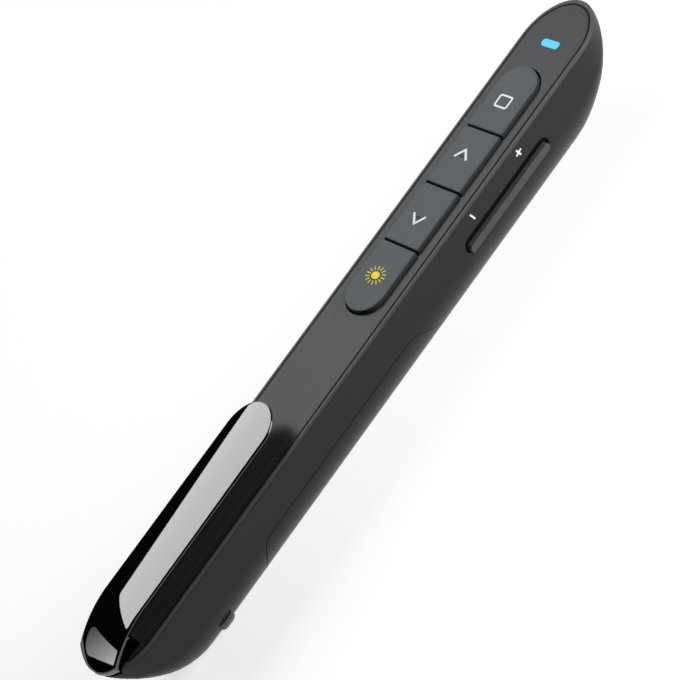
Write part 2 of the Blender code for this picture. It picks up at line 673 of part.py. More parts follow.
def shell_cutters():
    """What is cut from the body after its hollow."""
    cutters = []
    for index, (distance, depth) in enumerate(boss_places()):
        hole_length = SCREW_LENGTH + OVERRUN
        cutters.append(rod("cut_boss_hole_%d" % index,
                           (along(distance), 0, DECK - depth + OVERRUN - hole_length / 2),
                           SCREW_RADIUS + RUNNING_GAP, hole_length, "z", segments=SCREW_STEPS))
    cutters.append(hatch_prism("cut_hatch", SEAT_GAP, KEEL - OVERRUN))
    cutters.append(box("cut_receiver_pocket",
                       (along(0) - OVERRUN, -POCKET_WIDTH / 2, DECK - POCKET_DEPTH - POCKET_HEIGHT),
                       (along(POCKET_LENGTH), POCKET_WIDTH / 2, DECK - POCKET_DEPTH)))
    cutters.append(rod("cut_magnet_hole",
                       (along(TAIL_BLOCK_LENGTH), 0, DECK - POCKET_DEPTH - POCKET_HEIGHT / 2),
                       MAGNET_RADIUS + SEAT_GAP, (MAGNET_THICK + SEAT_GAP) * 2, "x"))
    seat_half = CLIP_HALF_WIDTH + SEAT_GAP
    cutters.append(box("cut_clip_seat", (along(0) - OVERRUN, -seat_half, DECK - CLIP_SEAT_DEEP),
                       (along(CLIP_ROOT_LENGTH + CLIP_SWING_GAP), seat_half, DECK + OVERRUN)))
    foot_half = FOOT_WIDTH / 2 + SEAT_GAP
    foot_reach = FOOT_LENGTH / 2 + CLIP_SWING_GAP
    cutters.append(box("cut_clip_foot",
                       (along(PIN_DISTANCE - foot_reach), -foot_half,
                        DECK - PIN_DEPTH - FOOT_BELOW_PIN - CLIP_SWING_GAP),
                       (along(PIN_DISTANCE + foot_reach), foot_half, DECK)))
    pin_start = -PIN_LENGTH / 2 - SEAT_GAP
    cutters.append(rod("cut_pin_hole", (along(PIN_DISTANCE), (pin_start + HALF_WIDTH) / 2, DECK - PIN_DEPTH),
                       PIN_RADIUS + RUNNING_GAP, HALF_WIDTH - pin_start, "y", segments=20))
    stem_low = along(KNOB_MIDDLE) - STEM_LENGTH / 2 - SEAT_GAP
    stem_high = along(KNOB_MIDDLE) + STEM_LENGTH / 2 + KNOB_TRAVEL + SEAT_GAP
    cutters.append(box("cut_knob_slot", (stem_low, -STEM_WIDTH / 2 - SEAT_GAP, KEEL - OVERRUN),
                       (stem_high, STEM_WIDTH / 2 + SEAT_GAP, KEEL + WALL + OVERRUN / 2)))
    cutters.append(rocker_prism("cut_rocker_slot", 0.0, -HALF_WIDTH - OVERRUN,
                                -HALF_WIDTH + WALL + OVERRUN / 2))
    axis_height = DECK - LASER_DEPTH
    bed_start = LASER_START - CRADLE_FLOOR_SLACK - OVERRUN / 4
    bed_end = LASER_START + BARREL_LENGTH + CRADLE_FLOOR_SLACK + OVERRUN / 4
    bed_room = BARREL_RADIUS + SEAT_GAP
    cutters.append(rod("cut_barrel_bed", (along((bed_start + bed_end) / 2), 0, axis_height),
                       bed_room, bed_end - bed_start, "x"))
    cutters.append(box("cut_barrel_way", (along(bed_start), -bed_room, axis_height),
                       (along(bed_end), bed_room, DECK)))
    way_start = LASER_START + BARREL_LENGTH
    cutters.append(rod("cut_aperture", (along((way_start + BODY_LENGTH) / 2), 0, axis_height),
                       BEZEL_RADIUS + SEAT_GAP, BODY_LENGTH - way_start, "x"))
    return cutters


def eased_corner(before, corner, after, reach, steps=5):
    """Points that round a corner of an outline, from this reach before it to the same reach after it."""
    start = corner.lerp(before, reach / (before - corner).length)
    end = corner.lerp(after, reach / (after - corner).length)
    shares = [step / steps for step in range(steps + 1)]
    return [start.lerp(corner, share).lerp(corner.lerp(end, share), share) for share in shares]


def hatch_prism(title, wider, low):
    """A block with slanted ends that the battery hatch is cut with, and its cover is trimmed to."""
    top = DECK - COVER_EDGE_DEPTH + wider
    bottom_drop = BODY_DEPTH - COVER_EDGE_DEPTH
    tail_slope = COVER_TAIL_SLANT / bottom_drop
    head_slope = COVER_HEAD_SLANT / bottom_drop
    drop = DECK - COVER_EDGE_DEPTH - low
    tail_top = Vector((along(COVER_TOP_START) - wider + tail_slope * wider, top))
    head_top = Vector((along(COVER_TOP_END) + wider - head_slope * wider, top))
    head_low = Vector((along(COVER_TOP_END) + wider + head_slope * drop, low))
    tail_low = Vector((along(COVER_TOP_START) - wider - tail_slope * drop, low))
    reach = COVER_CORNER_REACH + wider
    outline = eased_corner(tail_low, tail_top, head_top, reach)
    outline += eased_corner(tail_top, head_top, head_low, reach)
    return prism(title, outline + [head_low, tail_low], -BODY_WIDTH, BODY_WIDTH, "y")


def rocker_prism(title, smaller, low, high, finish=None):
    """The rocker's round-ended outline in the side wall, made smaller or wider by a gap."""
    half_tall = ROCKER_TALL / 2 - smaller
    half_long = ROCKER_LENGTH / 2 - smaller
    middle = (along(ROCKER_MIDDLE), DECK - ROCKER_DEPTH)
    outline = rounded_box_outline(middle, half_long, half_tall, half_tall - MERGE_DISTANCE, steps=5)
    return prism(title, outline, low, high, "y", finish)


def make_panel():
    """The brushed plate that closes the deck, with openings for the keys, the light and the clip's root."""
    panel = prism("top_panel", plan_outline(RIM_WIDTH + SEAT_GAP), DECK - PANEL_THICK + SEAT_GAP / 2, DECK,
                  "z", "brushed_panel")
    soften(panel, PANEL_EDGE, 1)
    window = prism("cut_key_window",
                   rounded_row(KEY_ROW_START - KEY_SPACING, KEY_ROW_END + KEY_SPACING,
                               KEY_HALF_WIDTH + KEY_SPACING, True, True, 14), DECK - OVERRUN, DECK + OVERRUN, "z")
    light = prism("cut_light_window",
                  rounded_box_outline((along(LIGHT_DISTANCE), 0), LIGHT_ALONG / 2 + SEAT_GAP / 2,
                                      LIGHT_ACROSS / 2 + SEAT_GAP / 2, LIGHT_CORNER),
                  DECK - OVERRUN, DECK + OVERRUN, "z")
    seat_half = CLIP_HALF_WIDTH + SEAT_GAP
    root = box("cut_panel_root", (along(0) - OVERRUN, -seat_half, DECK - OVERRUN),
               (along(CLIP_ROOT_LENGTH + CLIP_SWING_GAP), seat_half, DECK + OVERRUN))
    cut(panel, window, light, root)


def key_spans():
    """Start, end and rounded ends of the four keys, from the tail: laser, page down, page up, blank."""
    spans = []
    start = KEY_ROW_START
    lengths = (END_KEY_LENGTH, MIDDLE_KEY_LENGTH, MIDDLE_KEY_LENGTH, END_KEY_LENGTH)
    titles = ("laser", "page_down", "page_up", "blank_screen")
    for index, (title, length) in enumerate(zip(titles, lengths)):
        low = start + (KEY_SPACING / 2 if index else 0.0)
        high = start + length - (KEY_SPACING / 2 if index < len(lengths) - 1 else 0.0)
        spans.append((title, low, high, index == 0, index == len(lengths) - 1))
        start += length
    return spans


def make_key(title, low, high, round_start, round_end):
    """One key: a cap through the panel, a flange under it, a foot, and the switch's plunger below."""
    middle = key_middle(low, high, round_start, round_end)
    cap = prism("key_" + title, rounded_row(low, high, KEY_HALF_WIDTH, round_start, round_end),
                DECK - FLANGE_UNDER, DECK + KEY_RAISED, "z", "key_slate")
    soften(cap, KEY_EDGE, 2, radians(60))
    flange_low = low - (KEY_FLANGE_WIDER if round_start else 0.0)
    flange_high = high + (KEY_FLANGE_WIDER if round_end else 0.0)
    flange = prism("add_flange_" + title,
                   rounded_row(flange_low, flange_high, KEY_HALF_WIDTH + KEY_FLANGE_WIDER,
                               round_start, round_end),
                   DECK - FLANGE_UNDER, DECK - FLANGE_DEPTH, "z")
    foot = rod("add_foot_" + title,
               (along(middle), 0, DECK - FLANGE_UNDER - KEY_FOOT_LENGTH / 2 + SEAT_GAP / 2),
               KEY_FOOT_RADIUS, KEY_FOOT_LENGTH + SEAT_GAP, "z", segments=16)
    join(cap, flange, foot)
    plunger_top = DECK - FOOT_DEPTH - RUNNING_GAP
    plunger_length = PLUNGER_PROUD + PLUNGER_SUNK
    plunger = rod("plunger_" + title, (along(middle), 0, plunger_top - plunger_length / 2),
                  PLUNGER_RADIUS, plunger_length, "z", "chip_black", 16)
    carry("axis_key_" + title, (along(middle), 0, DECK), cap, plunger)


def key_middle(low, high, round_start, round_end):
    """The key's switch sits under the middle of its mark, a little off the rounded end."""
    shift = KEY_FLANGE_WIDER if round_start else 0.0
    shift -= KEY_FLANGE_WIDER if round_end else 0.0
    return (low + high) / 2 + shift / 2


def make_switch(title, middle):
    """A tactile switch on the board: a low square body with a well for its plunger."""
    top = DECK - BOARD_DEPTH + SWITCH_HEIGHT + SEAT_GAP
    half = SWITCH_SIZE / 2
    body = box("switch_" + title, (along(middle) - half, -half, top - SWITCH_HEIGHT),
               (along(middle) + half, half, top), "steel")
    soften(body, SWITCH_EDGE, 1, radians(60))
    well_deep = PLUNGER_SUNK + KEY_TRAVEL + RUNNING_GAP
    well = rod("cut_well_" + title, (along(middle), 0, top - well_deep / 2 + OVERRUN / 2),
               PLUNGER_RADIUS + RUNNING_GAP, well_deep + OVERRUN, "z", segments=16)
    cut(body, well)


def make_board():
    """The main circuit board, with a notch that clears the rocker and two screw holes."""
    side = HALF_WIDTH - WALL - SEAT_GAP * 2
    board = box("circuit_board", (along(BOARD_START), -side, DECK - BOARD_UNDER),
                (along(BOARD_END), side, DECK - BOARD_DEPTH), "board_green")
    notch = box("cut_board_notch", (along(ROCKER_START - ROCKER_FLANGE_WIDER * 4), -BODY_WIDTH, KEEL),
                (along(ROCKER_END + ROCKER_FLANGE_WIDER * 4), -side + BOARD_NOTCH, DECK))
    cut(board, notch)
    for index, distance in enumerate((MIDDLE_SCREW, HEAD_SCREW)):
        cut(board, rod("cut_board_hole_%d" % index, (along(distance), 0, DECK - BOARD_DEPTH),
                       SCREW_RADIUS + RUNNING_GAP, BOARD_THICK * 4, "z", segments=SCREW_STEPS))
    under = DECK - BOARD_UNDER - SEAT_GAP
    chip_x = along(ROCKER_MIDDLE)
    box("radio_chip", (chip_x - CHIP_SIZE / 2, CHIP_SIDE - CHIP_SIZE / 2, under - CHIP_HEIGHT),
        (chip_x + CHIP_SIZE / 2, CHIP_SIDE + CHIP_SIZE / 2, under), "chip_black")
    crystal_x = chip_x + CRYSTAL_AFTER_CHIP
    crystal = box("crystal_can",
                  (crystal_x - CRYSTAL_LENGTH / 2, CHIP_SIDE - CRYSTAL_WIDTH / 2, under - CRYSTAL_HEIGHT),
                  (crystal_x + CRYSTAL_LENGTH / 2, CHIP_SIDE + CRYSTAL_WIDTH / 2, under), "steel")
    soften(crystal, SWITCH_EDGE, 1)


def make_rocker():
    """The volume rocker: a sunk plate with a proud ridge, a flange inside the wall and a nib it rocks on."""
    rocker = rocker_prism("volume_rocker", SEAT_GAP, -HALF_WIDTH + ROCKER_SUNK, -ROCKER_BACK, "rocker_grey")
    flange = rocker_prism("add_rocker_flange", -ROCKER_FLANGE_WIDER, -ROCKER_FLANGE_FACE, -ROCKER_BACK)
    ridge_low = DECK - ROCKER_BOTTOM_DEPTH + RIDGE_ABOVE_EDGE
    half_long = ROCKER_LENGTH / 2 - SEAT_GAP - RIDGE_SHORTER
    ridge = prism("add_rocker_ridge",
                  rounded_box_outline((along(ROCKER_MIDDLE), ridge_low + RIDGE_TALL / 2), half_long,
                                      RIDGE_TALL / 2, RIDGE_TALL / 2 - MERGE_DISTANCE, steps=3),
                  -HALF_WIDTH - RIDGE_PROUD, -HALF_WIDTH + ROCKER_SUNK + SEAT_GAP, "y")
    soften(ridge, RIDGE_EDGE, 2, radians(60))
    nib = rod("add_rocker_nib", (along(ROCKER_MIDDLE), -ROCKER_BACK, DECK - ROCKER_DEPTH),
              ROCKER_NIB_RADIUS, ROCKER_TALL / 2, "z", segments=12)
    join(rocker, flange, ridge, nib)
    carry("axis_volume_rocker", (along(ROCKER_MIDDLE), -ROCKER_PIVOT, DECK - ROCKER_DEPTH), rocker)


def make_volume_switch(title, side):
    """A side-facing switch under the board, with its nib just behind the rocker's flange."""
    nib_tip = -(ROCKER_BACK - ROCKER_SWING)
    face = nib_tip + VOLUME_NIB_LENGTH
    middle = along(ROCKER_MIDDLE) + side * VOLUME_SWITCH_REACH
    top = DECK - BOARD_UNDER - SEAT_GAP
    half = VOLUME_SWITCH_LONG / 2
    body = box("switch_" + title, (middle - half, face, top - VOLUME_SWITCH_HIGH),
               (middle + half, face + VOLUME_SWITCH_DEEP, top), "steel")
    soften(body, SWITCH_EDGE, 1)
    nib = rod("add_nib_" + title, (middle, nib_tip + VOLUME_NIB_LENGTH, DECK - ROCKER_DEPTH),
              VOLUME_NIB_RADIUS, VOLUME_NIB_LENGTH * 2, "y", segments=12)
    join(body, nib)


def make_light():
    """The status light: a clear window in the panel, a small LED under it and the LED's own board."""
    prism("indicator_window",
          rounded_box_outline((along(LIGHT_DISTANCE), 0), LIGHT_ALONG / 2, LIGHT_ACROSS / 2, LIGHT_CORNER),
          DECK - LIGHT_GUIDE_DEEP, DECK, "z", "light_cyan")
    led_top = DECK - LIGHT_GUIDE_DEEP - SEAT_GAP
    box("status_led", (along(LIGHT_DISTANCE) - LED_WIDE / 2, -LED_LONG / 2, led_top - LED_HIGH),
        (along(LIGHT_DISTANCE) + LED_WIDE / 2, LED_LONG / 2, led_top), "led_white")
    board_top = led_top - LED_HIGH - SEAT_GAP / 2
    box("led_board", (along(LIGHT_DISTANCE) - LED_BOARD_LENGTH / 2, -LED_BOARD_WIDTH / 2,
                      board_top - LED_BOARD_THICK),
        (along(LIGHT_DISTANCE) + LED_BOARD_LENGTH / 2, LED_BOARD_WIDTH / 2, board_top), "board_green")


def make_laser():
    """The laser module: a barrel with its diode board behind, a lens in front, and a bezel in the nose."""
    height = DECK - LASER_DEPTH
    front = along(LASER_START + BARREL_LENGTH)
    inside = BARREL_LENGTH - BARREL_FLOOR
    turned("laser_barrel",
           [(0, -inside), (BARREL_BORE, -inside), (BARREL_BORE, 0), (BARREL_RADIUS, 0),
            (BARREL_RADIUS, -BARREL_LENGTH), (0, -BARREL_LENGTH)], (front, 0, height), "x", "brass")
    lens_front = front - LENS_SUNK
    rod("laser_lens", (lens_front - LENS_THICK / 2, 0, height), BARREL_BORE - RUNNING_GAP, LENS_THICK, "x",
        "lens_glass")
    back = along(LASER_START) - SEAT_GAP
    rod("laser_diode_board", (back - DIODE_BOARD_THICK / 2, 0, height), BARREL_RADIUS, DIODE_BOARD_THICK, "x",
        "board_green")
    bezel = canoe("laser_bezel", 0.0, RIM_CHAMFER, "steel")
    middle = (along(BODY_LENGTH - BEZEL_BACK / 2), 0, height)
    boolean(bezel, rod("trim_bezel", middle, BEZEL_RADIUS, BEZEL_BACK, "x"), "INTERSECT")
    cut(bezel, rod("cut_bezel_bore", middle, BEZEL_BORE, BEZEL_BACK + OVERRUN, "x"))


def make_frame():
    """The inner frame: a roof, two sides and two end walls round the cell, with an ear at each end."""
    side = HALF_WIDTH - WALL - SEAT_GAP
    roof_under = DECK - ROOF_DEPTH
    low = DECK - COVER_EDGE_DEPTH + SEAT_GAP * 2
    wall_start = BAY_START - FRAME_END_WALL
    wall_end = BAY_END + FRAME_END_WALL
    frame = box("inner_frame", (along(wall_start), -side, low),
                (along(wall_end), side, roof_under + FRAME_ROOF), "frame_grey")
    bay = box("cut_frame_bay", (along(BAY_START), -side + FRAME_SIDE, low - OVERRUN),
              (along(BAY_END), side - FRAME_SIDE, roof_under))
    tail_ear_top = DECK - TAIL_EAR_DEPTH
    tail_ear = box("add_tail_ear",
                   (along(TAIL_SCREW - EAR_PAST_SCREW), -EAR_WIDTH / 2, tail_ear_top - EAR_THICK),
                   (along(wall_start + SEAT_GAP), EAR_WIDTH / 2, tail_ear_top))
    tail_web = box("add_tail_web", (along(wall_start), -EAR_WIDTH / 2, tail_ear_top - EAR_THICK),
                   (along(BAY_START), EAR_WIDTH / 2, low + OVERRUN))
    head_ear_top = DECK - BOARD_UNDER - SEAT_GAP
    head_ear = box("add_head_ear", (along(wall_end - SEAT_GAP), -EAR_WIDTH / 2, head_ear_top - EAR_THICK),
                   (along(MIDDLE_SCREW + EAR_PAST_SCREW), EAR_WIDTH / 2, head_ear_top))
    cut(frame, bay)
    join(frame, tail_web, tail_ear, head_ear)
    for index, distance in enumerate((TAIL_SCREW, MIDDLE_SCREW)):
        cut(frame, rod("cut_frame_hole_%d" % index, (along(distance), 0, DECK - BODY_DEPTH / 2),
                       SCREW_RADIUS + RUNNING_GAP, BODY_DEPTH, "z", segments=SCREW_STEPS))
    for index, across in enumerate((LEAD_SIDE, -LEAD_SIDE)):
        cut(frame, rod("cut_lead_hole_%d" % index, (0, across, DECK - LEAD_DEPTH),
                       LEAD_RADIUS + LEAD_HOLE_SLACK, BODY_LENGTH, "x", segments=12))


def make_cell():
    """The AAA cell, its positive nub towards the head, and the two contacts."""
    nub_end = BAY_END - CONTACT_THICK - SEAT_GAP * 2
    length = CELL_LENGTH
    turned("battery_cell",
           [(0, 0), (CELL_NUB_RADIUS, 0), (CELL_NUB_RADIUS, -CELL_NUB_LENGTH),
            (CELL_RADIUS - CELL_EDGE, -CELL_NUB_LENGTH), (CELL_RADIUS, -CELL_NUB_LENGTH - CELL_EDGE),
            (CELL_RADIUS, -length + CELL_EDGE), (CELL_RADIUS - CELL_EDGE, -length), (0, -length)],
           (along(nub_end), 0, CELL_HEIGHT), "x", "cell_wrap", 28)
    half = CONTACT_SIZE / 2
    low = CELL_HEIGHT - half
    high = CELL_HEIGHT + half
    box("contact_front", (along(BAY_END - SEAT_GAP - CONTACT_THICK), -half, low),
        (along(BAY_END - SEAT_GAP), half, high), "steel")
    box("contact_rear", (along(BAY_START + SEAT_GAP), -half, low),
        (along(BAY_START + SEAT_GAP + CONTACT_THICK), half, high), "steel")
    spring_start = BAY_START + SEAT_GAP * 2 + CONTACT_THICK + SPRING_WIRE
    spring_end = nub_end - length - SEAT_GAP - SPRING_WIRE
    make_spring(spring_start, spring_end)


def make_spring(start, end):
    """The cell's conical spring: a helix whose radius shrinks steadily from the contact to the cell."""
    count = SPRING_TURNS * SPRING_POINTS_A_TURN
    points = []
    for index in range(count + 1):
        share = index / count
        angle = 2 * pi * SPRING_TURNS * share
        radius = SPRING_WIDE_RADIUS + (SPRING_NARROW_RADIUS - SPRING_WIDE_RADIUS) * share
        points.append(Vector((along(start + (end - start) * share), radius * cos(angle),
                              CELL_HEIGHT + radius * sin(angle))))
    tube("battery_spring", points, SPRING_WIRE, "steel", 1)
    report_least_gap(points, SPRING_WIRE, SPRING_POINTS_A_TURN)


def report_least_gap(points, radius, points_a_turn):
    """Print the least gap between the spring's turns, measured on its points."""
    least = min((points[first] - points[second]).length
                for first in range(len(points))
                for second in range(first + points_a_turn // 2, len(points)))
    print("battery_spring least gap to itself %.2f mm" % ((least - 2 * radius) * 1000))


def tube(title, points, radius, finish, resolution):
    """A round wire through the points."""
    curve = bpy.data.curves.new(title, "CURVE")
    curve.dimensions = "3D"
    curve.bevel_depth = radius
    curve.bevel_resolution = resolution
    curve.use_fill_caps = True
    line = curve.splines.new("POLY")
    line.points.add(len(points) - 1)
    for knot, point in zip(line.points, points):
        knot.co = (point[0], point[1], point[2], 1.0)
    curve.materials.append(finish_material(finish))
    PARTS.objects.link(bpy.data.objects.new(title, curve))


def make_cover():
    """The battery cover: the keel's own section, trimmed with slanted ends."""
    distance = (COVER_TOP_START + COVER_TOP_END) / 2
    edge_height = DECK - COVER_EDGE_DEPTH
    outer = [point for point in hull_ring(distance, 0.0, 0.0) if point[1] < edge_height]
    inner = [point for point in hull_ring(distance, COVER_WALL, 0.0) if point[1] < edge_height]
    inner_half = HALF_WIDTH - COVER_WALL
    outline = [(HALF_WIDTH, edge_height)] + outer + [(-HALF_WIDTH, edge_height), (-inner_half, edge_height)]
    outline += list(reversed(inner)) + [(inner_half, edge_height)]
    low = along(COVER_TOP_START - COVER_TAIL_SLANT) - OVERRUN
    high = along(COVER_TOP_END + COVER_HEAD_SLANT) + OVERRUN
    cover = prism("battery_cover", outline, low, high, "x", "shell_black")
    boolean(cover, hatch_prism("trim_cover", 0.0, KEEL - OVERRUN), "INTERSECT")
    carry("axis_battery_cover", (along(distance), 0, KEEL), cover)


def screw(title, distance, head_depth):
    """A pan-head screw with a driver slot, its head resting at a depth."""
    seat = DECK - head_depth
    top = seat + SCREW_HEAD_HEIGHT
    length = SCREW_HEAD_HEIGHT + SCREW_LENGTH
    piece = turned(title, [(0, 0), (SCREW_HEAD_RADIUS - SCREW_SLOT_WIDE, 0),
                           (SCREW_HEAD_RADIUS, -SCREW_HEAD_HEIGHT / 2),
                           (SCREW_HEAD_RADIUS, -SCREW_HEAD_HEIGHT),
                           (SCREW_RADIUS, -SCREW_HEAD_HEIGHT), (SCREW_RADIUS, -length + SCREW_RADIUS),
                           (0, -length)], (along(distance), 0, top), "z", "steel", SCREW_STEPS)
    slot = box("cut_slot_" + title,
               (along(distance) - SCREW_HEAD_RADIUS * 2, -SCREW_SLOT_WIDE / 2, top - SCREW_SLOT_DEEP),
               (along(distance) + SCREW_HEAD_RADIUS * 2, SCREW_SLOT_WIDE / 2, top + OVERRUN))
    cut(piece, slot)


def make_screws():
    screw("frame_screw", TAIL_SCREW, TAIL_EAR_DEPTH - SEAT_GAP)
    screw("board_screw_rear", MIDDLE_SCREW, BOARD_DEPTH - SEAT_GAP)
    screw("board_screw_front", HEAD_SCREW, BOARD_DEPTH - SEAT_GAP)


def keel_offset(angle, side, proud):
    """A point outside the keel's corner by a distance; the angle runs from the keel's flat up the corner."""
    across = HALF_WIDTH - CORNER_WIDE + CORNER_WIDE * sin(angle)
    height = KEEL + CORNER_DEEP * (1 - cos(angle))
    normal = Vector((sin(angle) / CORNER_WIDE, -cos(angle) / CORNER_DEEP)).normalized()
    return (side * (across + proud * normal.x), height + proud * normal.y)


def knob_ring(x, proud):
    """Section of the power knob: a saddle round the keel, thinner towards its two ends."""
    angles = [KNOB_WRAP * step / KNOB_STEPS for step in range(KNOB_STEPS, -1, -1)]
    outer = []
    inner = []
    for side in (1, -1):
        sweep = angles if side == 1 else list(reversed(angles))
        for angle in sweep:
            thin = 1 - (angle / KNOB_WRAP) ** 3 / 2
            outer.append(keel_offset(angle, side, SEAT_GAP + (proud - SEAT_GAP) * thin))
            inner.append(keel_offset(angle, side, SEAT_GAP / 2))
    return [(x, y, z) for y, z in outer + list(reversed(inner))]


def make_power_switch():
    """The slide switch: a saddle knob outside, its stem through the slot, and the switch on its own board."""
    half = KNOB_LENGTH / 2
    middle = along(KNOB_MIDDLE)
    knob = loft("power_knob", [knob_ring(middle + half * place_share, KNOB_PROUD * rise_share)
                               for place_share, rise_share in rise_shares], None, "shell_black")
    stem_top = KEEL + WALL + SEAT_GAP + STEM_DEEP
    stem = box("add_knob_stem", (middle - STEM_LENGTH / 2, -STEM_WIDTH / 2, KEEL - KNOB_PROUD / 2),
               (middle + STEM_LENGTH / 2, STEM_WIDTH / 2, stem_top))
    join(knob, stem)
    carry("axis_power_knob", (middle, 0, KEEL), knob)
    body_low = KEEL + WALL + SEAT_GAP
    centre = along(SLIDER_MIDDLE)
    body = box("power_switch", (centre - SLIDER_BODY_LENGTH / 2, -SLIDER_BODY_WIDTH / 2, body_low),
               (centre + SLIDER_BODY_LENGTH / 2, SLIDER_BODY_WIDTH / 2, body_low + SLIDER_BODY_HEIGHT),
               "steel")
    slot = box("cut_power_slot",
               (middle - STEM_LENGTH / 2 - SEAT_GAP, -STEM_WIDTH / 2 - SEAT_GAP, body_low - OVERRUN),
               (middle + STEM_LENGTH / 2 + KNOB_TRAVEL + SEAT_GAP, STEM_WIDTH / 2 + SEAT_GAP,
                stem_top + SEAT_GAP))
    cut(body, slot)
    board_low = body_low + SLIDER_BODY_HEIGHT + SEAT_GAP
    box("power_board", (centre - SLIDER_BOARD_LENGTH / 2, -SLIDER_BOARD_WIDTH / 2, board_low),
        (centre + SLIDER_BOARD_LENGTH / 2, SLIDER_BOARD_WIDTH / 2, board_low + SLIDER_BOARD_THICK),
        "board_green")
    return board_low + SLIDER_BOARD_THICK


def make_leads(board_top):
    """Two thin leads that rise from the power board, run beside the cell and reach the circuit board."""
    start_height = board_top + LEAD_ABOVE_BOARD
    run_height = DECK - LEAD_DEPTH
    for title, side in (("lead_positive", 1), ("lead_negative", -1)):
        points = []
        for index in range(LEAD_POINTS):
            share = index / (LEAD_POINTS - 1)
            blend = (1 - cos(pi * share)) / 2
            points.append((along(LEAD_START + (LEAD_RISE_END - LEAD_START) * share), side * LEAD_SIDE,
                           start_height + (run_height - start_height) * blend))
        points.append((along(BOARD_START + LEAD_ON_BOARD), side * LEAD_SIDE, run_height))
        tube(title, points, LEAD_RADIUS, "lead_red" if side == 1 else "lead_dark", 1)


def make_receiver():
    """The USB receiver: a grip that completes the tail, a folded metal plug and the tongue inside it."""
    centre = DECK - POCKET_DEPTH - POCKET_HEIGHT / 2
    grip = canoe("receiver_grip", 0.0, RIM_CHAMFER, "shell_black")
    half_wide = POCKET_WIDTH / 2 - POCKET_SLACK
    half_high = POCKET_HEIGHT / 2 - POCKET_SLACK
    trim = box("trim_grip", (along(0) - OVERRUN, -half_wide, centre - half_high),
               (along(GRIP_LENGTH), half_wide, centre + half_high))
    boolean(grip, trim, "INTERSECT")
    start = along(GRIP_LENGTH) + SEAT_GAP
    plug = box("receiver_plug", (start, -PLUG_WIDTH / 2, centre - PLUG_HEIGHT / 2),
               (start + PLUG_LENGTH, PLUG_WIDTH / 2, centre + PLUG_HEIGHT / 2), "steel")
    soften(plug, PLUG_SHEET, 1)
    mouth = box("cut_plug_mouth",
                (start + PLUG_SHEET * 2, -PLUG_WIDTH / 2 + PLUG_SHEET, centre - PLUG_HEIGHT / 2 + PLUG_SHEET),
                (start + PLUG_LENGTH + OVERRUN, PLUG_WIDTH / 2 - PLUG_SHEET,
                 centre + PLUG_HEIGHT / 2 - PLUG_SHEET))
    cut(plug, mouth)
    inner_top = centre + PLUG_HEIGHT / 2 - PLUG_SHEET - SEAT_GAP
    tongue_half = PLUG_WIDTH / 2 - PLUG_SHEET - SEAT_GAP
    tongue = box("receiver_tongue", (start + PLUG_SHEET * 2 + SEAT_GAP, -tongue_half, inner_top - TONGUE_THICK),
                 (start + PLUG_LENGTH - TONGUE_SHORTER, tongue_half, inner_top), "chip_black")
    carry("axis_receiver", (along(0), 0, centre), grip, plug, tongue)
    magnet_end = along(TAIL_BLOCK_LENGTH)
    rod("receiver_magnet", (magnet_end - MAGNET_THICK / 2, 0, centre), MAGNET_RADIUS, MAGNET_THICK, "x",
        "magnet_nickel")


def make_clip():
    """The pen clip: one glossy arm that bends down into the tail, with a foot that turns on a pin."""
    tail_count = 12
    tip_count = 8
    root = [CLIP_TAIL + (CLIP_ROOT_LENGTH - CLIP_TAIL) * (step / tail_count) ** 2
            for step in range(1, tail_count + 1)]
    arch = [CLIP_ROOT_LENGTH + CLIP_STEP + (CLIP_ARCH_END - CLIP_ROOT_LENGTH - CLIP_STEP) * share
            for share in arch_shares]
    tip = [CLIP_END - CLIP_TIP_REACH * (1 - sin(pi / 2 * step / tip_count)) for step in range(tip_count)]
    rings = [clip_ring(distance) for distance in root]
    rings += [clip_ring(distance) for distance in arch + tip]
    tail_tip = (along(CLIP_TAIL), 0, DECK + CLIP_SWING_GAP - CLIP_SEAT_DEEP / 2)
    arm_middle = DECK + CLIP_HEIGHT - CLIP_THICK / 2
    clip = loft("pen_clip", rings, (tail_tip, (along(CLIP_END), 0, arm_middle)), "gloss_black")
    foot_low = DECK - PIN_DEPTH - FOOT_BELOW_PIN
    foot = box("add_clip_foot", (along(PIN_DISTANCE) - FOOT_LENGTH / 2, -FOOT_WIDTH / 2, foot_low),
               (along(PIN_DISTANCE) + FOOT_LENGTH / 2, FOOT_WIDTH / 2, DECK))
    join(clip, foot)
    centre = (along(PIN_DISTANCE), 0, DECK - PIN_DEPTH)
    cut(clip, rod("cut_clip_bore", centre, PIN_RADIUS + RUNNING_GAP, BODY_WIDTH, "y", segments=20))
    carry("axis_pen_clip", centre, clip)
    rod("clip_pin", centre, PIN_RADIUS, PIN_LENGTH, "y", "steel", 20)


def build():
    make_shell()
    make_panel()
    for title, low, high, round_start, round_end in key_spans():
        make_key(title, low, high, round_start, round_end)
        make_switch(title, key_middle(low, high, round_start, round_end))
    make_board()
    make_rocker()
    make_volume_switch("volume_up", 1)
    make_volume_switch("volume_down", -1)
    make_light()
    make_laser()
    make_frame()
    make_cell()
    make_cover()
    make_screws()
    board_top = make_power_switch()
    make_leads(board_top)
    make_receiver()
    make_clip()


build()
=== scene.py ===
"""Looks for the wireless presenter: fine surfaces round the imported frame, its finishes, the stage and the camera.

Metres, +Z up, in the row frame: X runs along the body with the laser at +X, and the rocker faces -Y. A distance
"t" is measured along X from the tail's tip.
"""
import json
from math import pi, radians

import bmesh
import bpy
import numpy as np
from mathutils import Matrix, Vector


